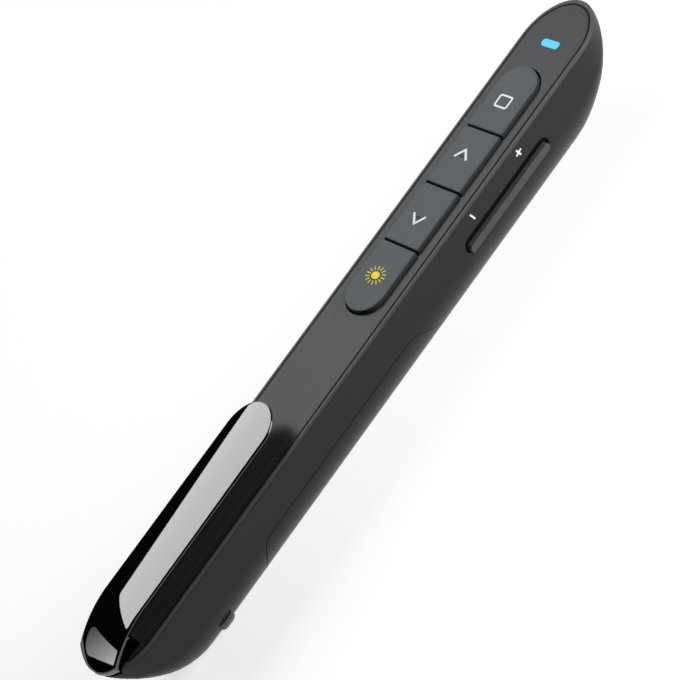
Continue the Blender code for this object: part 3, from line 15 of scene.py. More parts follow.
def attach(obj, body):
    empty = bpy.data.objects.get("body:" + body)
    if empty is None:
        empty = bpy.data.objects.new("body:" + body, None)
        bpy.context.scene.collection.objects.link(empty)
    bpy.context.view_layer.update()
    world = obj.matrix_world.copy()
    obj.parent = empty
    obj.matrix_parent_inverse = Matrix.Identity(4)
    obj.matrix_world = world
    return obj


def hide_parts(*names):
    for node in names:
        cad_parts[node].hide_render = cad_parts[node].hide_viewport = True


# The body's form, as in the frame
LENGTH = 0.158
HALF_WIDTH = 0.0083
DEPTH = 0.0165
KEEL = 0.0007
DECK = KEEL + DEPTH
CORNER_WIDE = 0.0052
CORNER_DEEP = 0.0081
PLAN_REACH = 0.0106
TAIL_KEEL_REACH = 0.0173
HEAD_KEEL_REACH = 0.0208

# Panel, its rim with the band of the rim's painted highlight, and a dark band of painted shade over the panel's edge
RIM_WIDTH = 0.0009
RIM_BEVEL = 0.00045
PANEL_GAP = 0.0002
EDGE_WIDE = 0.00022
EDGE_DEEP = 0.0003

# Keys
KEY_TOP = DECK + 0.00095
KEY_BOTTOM = DECK - 0.0018
KEY_HALF = 0.0047
KEY_FILLET = 0.0003
# Node, body, both ends as distances from the tail, and whether the low and the high end is round
KEYS = (("key_laser", "laser_key", 0.0820, 0.0973, True, False),
        ("key_page_down", "page_down_key", 0.0977, 0.11115, False, False),
        ("key_page_up", "page_up_key", 0.11155, 0.1250, False, False),
        ("key_blank_screen", "blank_screen_key", 0.1254, 0.1407, False, True))

# Volume rocker
ROCKER_MIDDLE = 0.1175
ROCKER_HALF_LONG = 0.0134
ROCKER_HEIGHT = DECK - 0.00647
ROCKER_HALF_TALL = 0.0017
RIDGE_HEIGHT = DECK - 0.00715
RIDGE_HALF_TALL = 0.0009
RIDGE_FILLET = 0.00018
RIDGE_END_GAP = 0.0004
RIDGE_OUT = HALF_WIDTH + 0.0005
RIDGE_BACK = HALF_WIDTH - 0.0007
PLATE_OUT = HALF_WIDTH - 0.0006
PLATE_BACK = HALF_WIDTH - 0.0024

# Pen clip
CLIP_END = 0.0578
CLIP_TAIL = 0.0001
CLIP_HALF = 0.0056
CLIP_TIP_HALF = 0.0055
CLIP_TIP_REACH = 0.0066
CLIP_HEIGHT = 0.0050
CLIP_THICK = 0.0017
CLIP_CROWN = 0.0005
CLIP_FILLET = 0.0003
CLIP_LEAN = 0.0014
CLIP_ROOT_LEAN = 0.0009
CLIP_BEND = 0.0140
CLIP_ROOT = 0.0087
CLIP_ARCH_START = 0.0012
CLIP_ARCH_END = 0.0150
CLIP_SUNK = 0.0006

# Stage: the floor, and the lights' places as X and Z in their upright plane
FLOOR_RADIUS = 2.0
FLOOR_TURN = 0.3
FLOOR_RINGS = 24
FLOOR_TURN_RINGS = 12
FLOOR_COLOR = (0.94, 0.94, 0.94, 1)
SHADOW_STRONG = 0.60
SHADOW_WEAK = 0.18
GLOW_FULL = 1.01
GLOW_LOSS = -0.68
LIGHT_PLANE = 0.44
LIGHT_TURN = radians(-50)
SHEET_MIDDLE = (0.035, 0.70)
SHEET_HALF = (0.40, 0.253)
SHEET_CORNER = 0.12
STRIP_MIDDLE = (-0.49, 0.38)
STRIP_HALF = (0.27, 0.075)
STRIP_CORNER = 0.06
SHEET_LEVEL = 4.9
STRIP_LEVEL_LOW = 4.0
STRIP_LEVEL_HIGH = 0.4
FRONT_PLACE = (0.22, -0.22, 0.16)
FRONT_TARGET = (0.03, 0.0, DECK)
FRONT_SIZE = (0.18, 0.18)
FRONT_POWER = 0.92
WORLD_COLOR = (0.9, 0.95, 1.0, 1)
WORLD_STRENGTH = 0.01

# Camera
CAMERA_PLACE = (-0.07923, -0.30120, 0.29708 + DECK)
CAMERA_FORWARD = (0.1777, 0.6991, -0.6926)
CAMERA_RIGHT = (0.580, -0.643, -0.5002)
CAMERA_LENS = 121.76
CAMERA_SENSOR = 36
CAMERA_CLIP = 0.01
SHADOW_START = -0.10
SHADOW_END = 0.0

# Print
INK = 0.00003
STROKE = 0.0002
BOLD_STROKE = 0.00023
RAY_STROKE = 0.0001
SQUARE_LONG = 0.0013
SQUARE_ACROSS = 0.00155
SQUARE_CORNER = 0.0004
PLUS_HALF = 0.00068
MARK_LEAN = radians(10)
PLUS_PLACE = (0.1246, DECK - 0.00206)
MINUS_PLACE = (0.10925, DECK - 0.0022)
SQUARE_AT = 0.1321
CHEVRON_WING = 0.0015
CHEVRON_RISE = 0.00095
CHEVRON_DOT = (0.0004, 0.0006)
CHEVRON_DOT_BACK = 0.55
# Piece, body, middle, the way it points along X, and how far it stands to +Y
CHEVRONS = (("mark_up", "page_up_key", 0.1192, 1, 0.0005), ("mark_down", "page_down_key", 0.1034, -1, 0.0001))
SUN_AT = 0.09005
SUN_SIDE = 0.0002
SUN_EDGE = (0.00105, 0.00128)
SUN_DISC = (0.00084, 0.00102)
SUN_RAYS = 14
RAY_START = 0.00128
RAY_END = 0.00195
RAY_STRETCH = 1.2

# Surface work
SHARP = radians(32)
SHORTEST_RUN = 0.0002
WELD_GAP = INK / 6
SLOPE_STEP = 2e-5
SAME_WAY = 0.9


def along(t):
    """X of a distance from the tail."""
    return np.asarray(t) - LENGTH / 2


# ---- surfaces

def mesh_object(name, points, faces):
    """An object at the origin from points (n, 3) and a list of face index arrays, each (m, corners)."""
    mesh = bpy.data.meshes.new(name)
    groups = [np.asarray(face, dtype=np.int32) for face in faces if len(face)]
    sizes = np.concatenate([np.full(len(group), group.shape[1], dtype=np.int32) for group in groups])
    corners = np.concatenate([group.ravel() for group in groups])
    mesh.vertices.add(len(points))
    mesh.vertices.foreach_set("co", np.asarray(points, dtype=np.float32).ravel())
    mesh.loops.add(len(corners))
    mesh.loops.foreach_set("vertex_index", corners)
    mesh.polygons.add(len(sizes))
    mesh.polygons.foreach_set("loop_start", np.concatenate([[0], np.cumsum(sizes)[:-1]]).astype(np.int32))
    mesh.update(calc_edges=True)
    mesh.validate()
    mesh.shade_smooth()
    mesh.set_sharp_from_angle(angle=SHARP)
    piece = bpy.data.objects.new(name, mesh)
    bpy.context.scene.collection.objects.link(piece)
    return piece


def ring_faces(rows, count, first=0):
    """Quads between successive closed rings of the same count of points."""
    index = first + np.arange(rows * count).reshape(rows, count)
    near, far = index[:-1], index[1:]
    turned_near, turned_far = np.roll(near, -1, axis=1), np.roll(far, -1, axis=1)
    return np.stack([near, turned_near, turned_far, far], axis=-1).reshape(-1, 4)


def rounded_outline(low, high, half, low_radius, high_radius, steps=14, runs=24):
    """A closed outline, anticlockwise, of straight sides joined by quarter circles, with its outward normals.

    The corners at the low end share one radius and those at the high end another; a radius equal to the half
    width makes a half circle.
    """
    corners = ((high - high_radius, half - high_radius, high_radius, 0.0),
               (low + low_radius, half - low_radius, low_radius, pi / 2),
               (low + low_radius, -half + low_radius, low_radius, pi),
               (high - high_radius, -half + high_radius, high_radius, 3 * pi / 2))
    points, normals = [], []
    for centre_u, centre_v, radius, start in corners:
        angle = start + np.linspace(0, pi / 2, steps)
        turn = np.stack([np.cos(angle), np.sin(angle)], axis=1)
        points.append(np.array([centre_u, centre_v]) + radius * turn)
        normals.append(turn)
    filled, filled_normals = [], []
    for index in range(4):
        after = points[(index + 1) % 4][0]
        filled.append(points[index])
        filled_normals.append(normals[index])
        share = np.linspace(0, 1, runs + 2)[1:-1, None]
        if index % 2 == 0 and np.linalg.norm(after - points[index][-1]) > SHORTEST_RUN:
            filled.append(points[index][-1] * (1 - share) + after * share)
            filled_normals.append(np.repeat(normals[index][-1:], runs, axis=0))
    return np.concatenate(filled), np.concatenate(filled_normals)


def pad(name, outline, normals, top, bottom, fillet, lean=0.0, steps=7, inner=10, axis="z"):
    """A rounded slab over an outline.

    Rings climb the wall, turn over a quarter circle of the fillet's radius and run in to the outline's middle
    line, each point at its own height: top(u, v) gives the upper surface and bottom(u, v) the lower. The
    wall leans in by the lean at its foot.
    """
    low, high = outline[:, 0].min(), outline[:, 0].max()
    reach = np.abs(outline[:, 1]).max()
    middle = np.stack([np.clip(outline[:, 0], low + reach, high - reach), np.zeros(len(outline))], axis=1)
    rings, heights = [], []
    foot = outline - normals * lean
    rings.append(foot)
    heights.append(bottom(foot[:, 0], foot[:, 1]))
    for angle in np.linspace(0, pi / 2, steps):
        ring = outline - normals * fillet * (1 - np.cos(angle))
        rings.append(ring)
        heights.append(top(ring[:, 0], ring[:, 1]) - fillet * (1 - np.sin(angle)))
    start = rings[-1]
    for share in np.linspace(0, 1, inner + 1)[1:]:
        ring = start + (middle - start) * share
        rings.append(ring)
        heights.append(top(ring[:, 0], ring[:, 1]))
    plan = np.concatenate(rings)
    height = np.concatenate(heights)
    count = len(outline)
    under = foot + (middle - foot) * np.linspace(0, 1, inner + 1)[1:, None, None]
    under_height = bottom(under[..., 0].ravel(), under[..., 1].ravel())
    points = np.concatenate([np.column_stack([plan, height]),
                             np.column_stack([under.reshape(-1, 2), under_height])])
    faces = [ring_faces(len(rings), count)]
    lower = np.concatenate([np.arange(count)[None], len(plan) + np.arange(inner * count).reshape(inner, count)])
    near, far = lower[:-1], lower[1:]
    faces.append(np.stack([near, far, np.roll(far, -1, axis=1), np.roll(near, -1, axis=1)],
                          axis=-1).reshape(-1, 4))
    if axis == "y":
        points = np.column_stack([points[:, 0], -points[:, 2], points[:, 1]])
    return weld(mesh_object(name, points, faces))


def weld(piece):
    """Join the points that the folded middle line lays on one another."""
    work = bmesh.new()
    work.from_mesh(piece.data)
    bmesh.ops.remove_doubles(work, verts=work.verts, dist=WELD_GAP)
    bmesh.ops.dissolve_degenerate(work, edges=work.edges, dist=WELD_GAP)
    bmesh.ops.recalc_face_normals(work, faces=work.faces)
    work.to_mesh(piece.data)
    work.free()
    piece.data.shade_smooth()
    piece.data.set_sharp_from_angle(angle=SHARP)
    return piece


def ends(t, tail_reach, head_reach):
    """1 - k squared, where k grows from 0 on the straight body to 1 at either tip."""
    k = np.maximum(np.maximum(1 - t / tail_reach, 1 - (LENGTH - t) / head_reach), 0)
    return np.clip(1 - k * k, 0, None)


def hull_field(t, across, height):
    """Below 0 inside the body's outer form, 0 on it, above 0 outside.

    The section is a rectangle with two elliptic lower corners, so the field is the sum of the squares of how far a
    point lies past the corner's centre, across and down, each in units of the corner's half axis. The plan ends
    in half ellipses and the keel in parabolas.
    """
    half = HALF_WIDTH * np.sqrt(ends(t, PLAN_REACH, PLAN_REACH))
    deep = DEPTH * ends(t, TAIL_KEEL_REACH, HEAD_KEEL_REACH)
    wide = CORNER_WIDE * half / HALF_WIDTH + INK
    high = CORNER_DEEP * deep / DEPTH + INK
    side = np.maximum(np.abs(across) - (half - wide), 0) / wide
    down = np.maximum((DECK - deep + high) - height, 0) / high
    return side * side + down * down - 1


def smooth_copy(node, name):
    """A copy of a frame node whose corners on the body's outer form take that form's own normals.

    The normal is the slope of the field, by central differences. Corners elsewhere keep their face's normal.
    """
    piece = frame["nodes"][node].copy()
    piece.data = piece.data.copy()
    piece.name = name
    piece.parent = None
    bpy.context.scene.collection.objects.link(piece)
    mesh = piece.data
    count = len(mesh.loops)
    points = np.empty(len(mesh.vertices) * 3)
    mesh.vertices.foreach_get("co", points)
    points = points.reshape(-1, 3)
    corner = np.empty(count, dtype=np.int32)
    mesh.loops.foreach_get("vertex_index", corner)
    face_normals = np.empty(len(mesh.polygons) * 3)
    mesh.polygons.foreach_get("normal", face_normals)
    sizes = np.empty(len(mesh.polygons), dtype=np.int32)
    mesh.polygons.foreach_get("loop_total", sizes)
    plain = np.repeat(face_normals.reshape(-1, 3), sizes, axis=0)
    at = points[corner]
    slope = np.empty_like(at)
    for axis in range(3):
        ahead, behind = at.copy(), at.copy()
        ahead[:, axis] += SLOPE_STEP
        behind[:, axis] -= SLOPE_STEP
        slope[:, axis] = (hull_field(ahead[:, 0] + LENGTH / 2, ahead[:, 1], ahead[:, 2])
                          - hull_field(behind[:, 0] + LENGTH / 2, behind[:, 1], behind[:, 2]))
    size = np.linalg.norm(slope, axis=1, keepdims=True)
    round_normal = slope / np.maximum(size, 1e-12)
    round_normal[:, 1] = np.where(np.isfinite(round_normal[:, 1]), round_normal[:, 1], 0)
    matches = (np.einsum("ij,ij->i", round_normal, plain) > SAME_WAY) & (size[:, 0] > 0)
    normals = np.where(matches[:, None], round_normal, plain)
    mesh.shade_smooth()
    mesh.normals_split_custom_set(normals.tolist())
    return piece


def clip_top(t, across):
    """The clip's upper surface: level along the arm, falling as a parabola to the tail, and crowned across."""
    fall = np.maximum(0, 1 - t / CLIP_BEND)
    return DECK + CLIP_HEIGHT * (1 - fall ** 2) - CLIP_CROWN * (across / CLIP_HALF) ** 2


def clip_under(t):
    """The clip's lower surface: sunk at the root, then an elliptic arch up to the level arm."""
    share = np.clip((CLIP_ARCH_END - t) / (CLIP_ARCH_END - CLIP_ROOT), 0, 1)
    arm = CLIP_HEIGHT - CLIP_THICK
    arch = CLIP_ARCH_START + (arm - CLIP_ARCH_START) * np.sqrt(1 - share ** 2)
    return DECK + np.where(t <= CLIP_ROOT, -CLIP_SUNK, arch)


def clip_outline(count=140):
    """The clip's plan: the body's half ellipse at the tail, a slight taper, and a half ellipse at the tip."""
    share = np.linspace(0, 1, count)
    t = CLIP_TAIL + (CLIP_END - CLIP_TAIL) * (1 - np.cos(pi * share)) / 2
    tip = np.clip(1 - (CLIP_END - t) / CLIP_TIP_REACH, 0, 1)
    taper = np.clip((t - CLIP_ROOT) / (CLIP_END - CLIP_TIP_REACH - CLIP_ROOT), 0, 1)
    arm = (CLIP_HALF + (CLIP_TIP_HALF - CLIP_HALF) * taper) * np.sqrt(1 - tip ** 2)
    half = np.minimum(arm, HALF_WIDTH * np.sqrt(ends(t, PLAN_REACH, PLAN_REACH)))
    half[0] = 0
    half[-1] = 0
    right = np.stack([t, -half], axis=1)
    left = np.stack([t[::-1], half[::-1]], axis=1)[1:-1]
    outline = np.concatenate([right, left])
    tangent = np.roll(outline, -1, axis=0) - np.roll(outline, 1, axis=0)
    normals = np.stack([tangent[:, 1], -tangent[:, 0]], axis=1)
    return outline, normals / np.linalg.norm(normals, axis=1, keepdims=True)


def make_panel_gap_shade(count=240):
    """A thin dark band over the panel's edge and down into the gap, carried along the panel's own outline: painted
    shade for the gap round the panel.

    The outline is the body's plan, moved in along its normals by the rim and the gap. The bevel rises from deep in
    the gap to the panel's top over the edge's width.
    """
    turn = np.linspace(0, 2 * pi, count, endpoint=False)
    t = LENGTH / 2 * (1 + np.cos(turn))
    plan = np.stack([t, np.sign(np.sin(turn)) * HALF_WIDTH * np.sqrt(ends(t, PLAN_REACH, PLAN_REACH))], axis=1)
    tangent = np.roll(plan, -1, axis=0) - np.roll(plan, 1, axis=0)
    normals = np.stack([tangent[:, 1], -tangent[:, 0]], axis=1)
    normals /= np.linalg.norm(normals, axis=1, keepdims=True)
    first = RIM_WIDTH + PANEL_GAP
    reach = -PANEL_GAP / 2
    profile = ((reach, -EDGE_DEEP), (reach, -INK), (EDGE_WIDE, INK), (EDGE_WIDE, -EDGE_DEEP), (reach, -EDGE_DEEP))
    points = np.concatenate([np.column_stack([shift(plan - normals * (first + inward)),
                                              np.full(count, DECK + rise)]) for inward, rise in profile])
    return weld(mesh_object("panel_gap_shade", points, [ring_faces(len(profile), count)]))


def shift(outline):
    """An outline in distances from the tail, moved to X."""
    moved = outline.copy()
    moved[:, 0] -= LENGTH / 2
    return moved


def make_clip():
    """The glossy clip as one fine slab with a crowned top.

    Its side walls lean in: the lean grows evenly from nothing at the tail to one size at the root, and from there
    to another on the arm.
    """
    outline, normals = clip_outline()
    arm_share = np.clip((outline[:, :1] - CLIP_ROOT) / (CLIP_ARCH_END - CLIP_ROOT), 0, 1)
    root_share = np.clip(outline[:, :1] / CLIP_ROOT, 0, 1)
    lean = CLIP_ROOT_LEAN * root_share + (CLIP_LEAN - CLIP_ROOT_LEAN) * arm_share
    return pad("clip_arm", shift(outline), normals, lambda u, v: clip_top(u + LENGTH / 2, v),
               lambda u, v: clip_under(u + LENGTH / 2), CLIP_FILLET, lean, steps=9, inner=18)


def flat(level):
    """A height function that is level everywhere."""
    return lambda u, v: np.full(np.shape(u), level)


def make_keys():
    """The four caps, each a rounded slab with a fine fillet, level on top."""
    pieces = []
    for node, body, low, high, round_low, round_high in KEYS:
        outline, normals = rounded_outline(low, high, KEY_HALF, KEY_HALF if round_low else KEY_FILLET,
                                           KEY_HALF if round_high else KEY_FILLET)
        cap = pad(node + "_cap", shift(outline), normals, flat(KEY_TOP), flat(KEY_BOTTOM), KEY_FILLET)
        pieces.append((cap, node, body))
    return pieces


def make_rocker():
    """The rocker's sunk plate and the rounded ridge that stands out of it, both facing -Y. The plate later wears a
    near-black copy of the rocker's plastic, painted shade in the slot's recess.
    """
    plate, normals = rounded_outline(-ROCKER_HALF_LONG, ROCKER_HALF_LONG, ROCKER_HALF_TALL, ROCKER_HALF_TALL,
                                     ROCKER_HALF_TALL)
    place = np.array([ROCKER_MIDDLE - LENGTH / 2, 0.0])
    base = pad("rocker_plate", plate + place, normals, flat(PLATE_OUT), flat(PLATE_BACK), INK, axis="y")
    ridge_half_long = ROCKER_HALF_LONG - RIDGE_END_GAP
    bar, normals = rounded_outline(-ridge_half_long, ridge_half_long, RIDGE_HALF_TALL, RIDGE_HALF_TALL,
                                   RIDGE_HALF_TALL)
    ridge = pad("rocker_ridge", bar + place, normals, flat(RIDGE_OUT), flat(RIDGE_BACK), RIDGE_FILLET, axis="y")
    lift(base, ROCKER_HEIGHT)
    lift(ridge, RIDGE_HEIGHT)
    return base, ridge


def lift(piece, height):
    """Raise a piece's points, so that its object stays at the origin."""
    piece.data.transform(Matrix.Translation((0, 0, height)))


def strokes(name, lines, width, level, place=(0.0, 0.0), axis="z"):
    """Print made of flat bars: each line's two ends, widened to both sides, stand proud by the ink's thickness.

    Each next bar stands a hair higher than the last, so that two that cross never share a plane.
    """
    points, faces = [], []
    for number, (start, end) in enumerate(lines):
        start, end = np.array(start) + place, np.array(end) + place
        run = (end - start) / np.linalg.norm(end - start)
        side = np.array([-run[1], run[0]]) * width
        cap = run * width
        corners = np.array([start - cap - side, end + cap - side, end + cap + side, start - cap + side])
        first = sum(len(p) for p in points)
        low = np.column_stack([corners, np.full(4, level)])
        high = np.column_stack([corners, np.full(4, level + INK * (1 + number / 8))])
        points.append(np.concatenate([low, high]))
        faces.append(first + np.array([[3, 2, 1, 0], [4, 5, 6, 7], [0, 1, 5, 4], [1, 2, 6, 5], [2, 3, 7, 6],
                                       [3, 0, 4, 7]]))
    points = np.concatenate(points)
    if axis == "y":
        points = np.column_stack([points[:, 0], -points[:, 2], points[:, 1]])
    return mesh_object(name, points, [np.concatenate(faces)])


def disc(name, place, radii, level, count=32):
    """A thin printed ellipse."""
    angle = np.linspace(0, 2 * pi, count, endpoint=False)
    rim = np.stack([place[0] + radii[0] * np.cos(angle), place[1] + radii[1] * np.sin(angle)], axis=1)
    points = np.concatenate([np.column_stack([rim, np.full(count, level)]),
                             np.column_stack([rim, np.full(count, level + INK)])])
    index = np.arange(count)
    after = (index + 1) % count
    wall = np.stack([index, after, after + count, index + count], axis=1)
    return mesh_object(name, points, [wall, (index + count)[None], index[::-1][None]])


def band(name, outline, normals, half, level):
    """A thin printed band: two rings, the half width out and in from a closed outline, joined over and under."""
    outer, inner = outline + normals * half, outline - normals * half
    count = len(outline)
    rings = [(outer, level), (outer, level + INK), (inner, level + INK), (inner, level), (outer, level)]
    points = np.concatenate([np.column_stack([ring, np.full(count, height)]) for ring, height in rings])
    return weld(mesh_object(name, points, [ring_faces(len(rings), count)]))


def make_print():
    """The generic marks: a square, two chevrons and a sun on the keys, and plus and minus on the side."""
    marks = []
    outline, normals = rounded_outline(-SQUARE_LONG, SQUARE_LONG, SQUARE_ACROSS, SQUARE_CORNER, SQUARE_CORNER)
    marks.append((band("mark_square", outline + (along(SQUARE_AT), 0.0), normals, STROKE, KEY_TOP), "blank_screen_key",
                  "print_white"))
    for name, body, middle, way, side in CHEVRONS:
        rise = CHEVRON_RISE * way
        lines = [((-rise, -CHEVRON_WING), (rise, 0.0)), ((rise, 0.0), (-rise, CHEVRON_WING))]
        place = (along(middle), side)
        marks.append((strokes(name, lines, BOLD_STROKE, KEY_TOP, place), body, "print_white"))
        # Each chevron also gets a small dark disc, a little behind its point, in the dark finish
        dot = (place[0] - rise * CHEVRON_DOT_BACK, side)
        marks.append((disc(name + "_dot", dot, CHEVRON_DOT, KEY_TOP), body, "print_dark"))
    sun = (along(SUN_AT), SUN_SIDE)
    marks.append((disc("sun_edge", sun, SUN_EDGE, KEY_TOP), "laser_key", "print_dark"))
    marks.append((disc("sun_disc", sun, SUN_DISC, KEY_TOP + INK), "laser_key", "print_yellow"))
    angle = np.linspace(0, 2 * pi, SUN_RAYS, endpoint=False) + pi / SUN_RAYS
    reach = np.stack([np.cos(angle), RAY_STRETCH * np.sin(angle)], axis=1)
    rays = [(tuple(way * RAY_START), tuple(way * RAY_END)) for way in reach]
    marks.append((strokes("sun_rays", rays, RAY_STROKE, KEY_TOP, sun), "laser_key", "print_yellow"))
    upright = np.array([-np.sin(MARK_LEAN), np.cos(MARK_LEAN)]) * PLUS_HALF
    level = np.array([np.cos(MARK_LEAN), np.sin(MARK_LEAN)]) * PLUS_HALF
    plus = [(-level, level), (-upright, upright)]
    marks.append((strokes("mark_plus", plus, STROKE, HALF_WIDTH, (along(PLUS_PLACE[0]), PLUS_PLACE[1]), "y"),
                  "handle", "print_white"))
    minus = [(-upright, upright)]
    marks.append((strokes("mark_minus", minus, STROKE, HALF_WIDTH, (along(MINUS_PLACE[0]), MINUS_PLACE[1]), "y"),
                  "handle", "print_white"))
    return marks


# ---- finishes

def new_group(name, inputs, outputs):
    """A shader node group with named sockets: inputs are (name, type, default)."""
    group = bpy.data.node_groups.new(name, "ShaderNodeTree")
    for title, kind, default in inputs:
        socket = group.interface.new_socket(name=title, in_out="INPUT", socket_type=kind)
        socket.default_value = default
    for title, kind in outputs:
        group.interface.new_socket(name=title, in_out="OUTPUT", socket_type=kind)
    return group, add(group, "NodeGroupInput"), add(group, "NodeGroupOutput")


def add(tree, kind, **settings):
    """A node of a kind, with its own settings."""
    made = tree.nodes.new(kind)
    for title, value in settings.items():
        setattr(made, title, value)
    return made


def feed(tree, made, **values):
    """Link or set a node's inputs by name, with spaces written as underscores."""
    for title, value in values.items():
        socket = made.inputs[title.replace("_", " ")]
        if isinstance(value, bpy.types.NodeSocket):
            tree.links.new(value, socket)
        else:
            socket.default_value = value


def make_grain_group():
    """Fine moulded texture: noise in the object's own coordinates moves the roughness and gives a bump's height."""
    group, inside, outside = new_group(
        "fine_grain", [("Scale", "NodeSocketFloat", 9000.0), ("Roughness", "NodeSocketFloat", 0.45),
                       ("Spread", "NodeSocketFloat", 0.08), ("Depth", "NodeSocketFloat", 0.00001)],
        [("Roughness", "NodeSocketFloat"), ("Normal", "NodeSocketVector")])
    place = add(group, "ShaderNodeTexCoord")
    fine = add(group, "ShaderNodeTexNoise")
    feed(group, fine, Vector=place.outputs["Object"], Scale=inside.outputs["Scale"], Detail=3.0)
    broad = add(group, "ShaderNodeTexNoise")
    feed(group, broad, Vector=place.outputs["Object"], Scale=140.0, Detail=2.0)
    spread = add(group, "ShaderNodeMath", operation="MULTIPLY_ADD")
    group.links.new(broad.outputs["Fac"], spread.inputs[0])
    group.links.new(inside.outputs["Spread"], spread.inputs[1])
    group.links.new(inside.outputs["Roughness"], spread.inputs[2])
    bump = add(group, "ShaderNodeBump")
    feed(group, bump, Strength=0.3, Distance=inside.outputs["Depth"], Height=fine.outputs["Fac"])
    group.links.new(spread.outputs[0], outside.inputs["Roughness"])
    group.links.new(bump.outputs["Normal"], outside.inputs["Normal"])
    return group


def make_brush_group():
    """Hairlines along X: noise squeezed hard across the grain shades the colour, the roughness and a bump."""
    group, inside, outside = new_group(
        "hairlines", [("Across", "NodeSocketFloat", 9000.0), ("Along", "NodeSocketFloat", 40.0),
                      ("Dark", "NodeSocketColor", (0.05, 0.05, 0.05, 1)),
                      ("Light", "NodeSocketColor", (0.2, 0.2, 0.2, 1)),
                      ("Roughness", "NodeSocketFloat", 0.25), ("Depth", "NodeSocketFloat", 0.00001)],
        [("Color", "NodeSocketColor"), ("Roughness", "NodeSocketFloat"), ("Normal", "NodeSocketVector")])
    place = add(group, "ShaderNodeTexCoord")
    squeeze = add(group, "ShaderNodeCombineXYZ")
    feed(group, squeeze, X=inside.outputs["Along"], Y=inside.outputs["Across"], Z=inside.outputs["Along"])
    stretch = add(group, "ShaderNodeVectorMath", operation="MULTIPLY")
    group.links.new(place.outputs["Object"], stretch.inputs[0])
    group.links.new(squeeze.outputs[0], stretch.inputs[1])
    fine = add(group, "ShaderNodeTexNoise")
    feed(group, fine, Vector=stretch.outputs[0], Scale=1.0, Detail=2.0)
    coarse = add(group, "ShaderNodeTexNoise")
    feed(group, coarse, Vector=stretch.outputs[0], Scale=0.22, Detail=2.0)
    both = add(group, "ShaderNodeMix", data_type="FLOAT")
    feed(group, both, Factor=0.5, A=fine.outputs["Fac"], B=coarse.outputs["Fac"])
    ramp = add(group, "ShaderNodeMapRange")
    feed(group, ramp, Value=both.outputs[0], From_Min=0.35, From_Max=0.65)
    tint = add(group, "ShaderNodeMix", data_type="RGBA")
    group.links.new(ramp.outputs[0], tint.inputs["Factor"])
    group.links.new(inside.outputs["Dark"], tint.inputs[6])
    group.links.new(inside.outputs["Light"], tint.inputs[7])
    rough = add(group, "ShaderNodeMath", operation="MULTIPLY_ADD")
    group.links.new(ramp.outputs[0], rough.inputs[0])
    rough.inputs[1].default_value = 0.08
    group.links.new(inside.outputs["Roughness"], rough.inputs[2])
    bump = add(group, "ShaderNodeBump")
    feed(group, bump, Strength=0.25, Distance=inside.outputs["Depth"], Height=both.outputs[0])
    group.links.new(tint.outputs[2], outside.inputs["Color"])
    group.links.new(rough.outputs[0], outside.inputs["Roughness"])
    group.links.new(bump.outputs["Normal"], outside.inputs["Normal"])
    return group


def material(name):
    """A material with its node tree and its Principled shader."""
    made = bpy.data.materials.new(name)
    made.use_nodes = True
    return made, made.node_tree, made.node_tree.nodes["Principled BSDF"]


def plastic(name, color, roughness, scale=9000.0, spread=0.06, depth=0.00001, metallic=0.0, **extra):
    """A moulded finish: plain colour under the fine grain."""
    made, tree, shader = material(name)
    grain = add(tree, "ShaderNodeGroup", node_tree=GRAIN)
    feed(tree, grain, Scale=scale, Roughness=roughness - spread / 2, Spread=spread, Depth=depth)
    feed(tree, shader, Base_Color=(*color, 1), Metallic=metallic, Roughness=grain.outputs["Roughness"],
         Normal=grain.outputs["Normal"], **extra)
    return made


def polished(name, color, roughness, **extra):
    """A smooth finish, the same all over."""
    made, tree, shader = material(name)
    feed(tree, shader, Base_Color=(*color, 1), Roughness=roughness, **extra)
    return made


def brushed(name, dark, light, roughness, across=9000.0, lengthwise=40.0, depth=0.00001, metallic=1.0, **extra):
    """A brushed metal: two tones of hairline."""
    made, tree, shader = material(name)
    lines = add(tree, "ShaderNodeGroup", node_tree=BRUSH)
    feed(tree, lines, Across=across, Along=lengthwise, Dark=(*dark, 1), Light=(*light, 1), Roughness=roughness,
         Depth=depth)
    feed(tree, shader, Base_Color=lines.outputs["Color"], Metallic=metallic, Roughness=lines.outputs["Roughness"],
         Normal=lines.outputs["Normal"], **extra)
    return made


def shell_black():
    """Soft matt black under the fine grain, with a paler base colour painted on the rim's narrow bevel at the deck as
    a painted highlight along the chamfer.
    """
    made, tree, shader = material("shell_black")
    place = add(tree, "ShaderNodeTexCoord")
    split = add(tree, "ShaderNodeSeparateXYZ")
    feed(tree, split, Vector=place.outputs["Object"])
    # Painted highlight: the base colour turns paler on the narrow band just below the deck, where the chamfer catches
    # light
    rim = add(tree, "ShaderNodeMapRange")
    feed(tree, rim, Value=split.outputs["Z"], From_Min=DECK - RIM_BEVEL, From_Max=DECK - RIM_BEVEL / 2)
    tint = add(tree, "ShaderNodeMix", data_type="RGBA")
    tree.links.new(rim.outputs[0], tint.inputs["Factor"])
    tint.inputs[6].default_value = (0.018, 0.018, 0.0185, 1)
    # The paler colour of the painted chamfer highlight
    tint.inputs[7].default_value = (0.084, 0.084, 0.080, 1)
    grain = add(tree, "ShaderNodeGroup", node_tree=GRAIN)
    feed(tree, grain, Roughness=0.36, Spread=0.06)
    feed(tree, shader, Base_Color=tint.outputs[2], Roughness=grain.outputs["Roughness"],
         Normal=grain.outputs["Normal"], Specular_IOR_Level=0.12, Sheen_Weight=0.22, Sheen_Roughness=0.5)
    return made


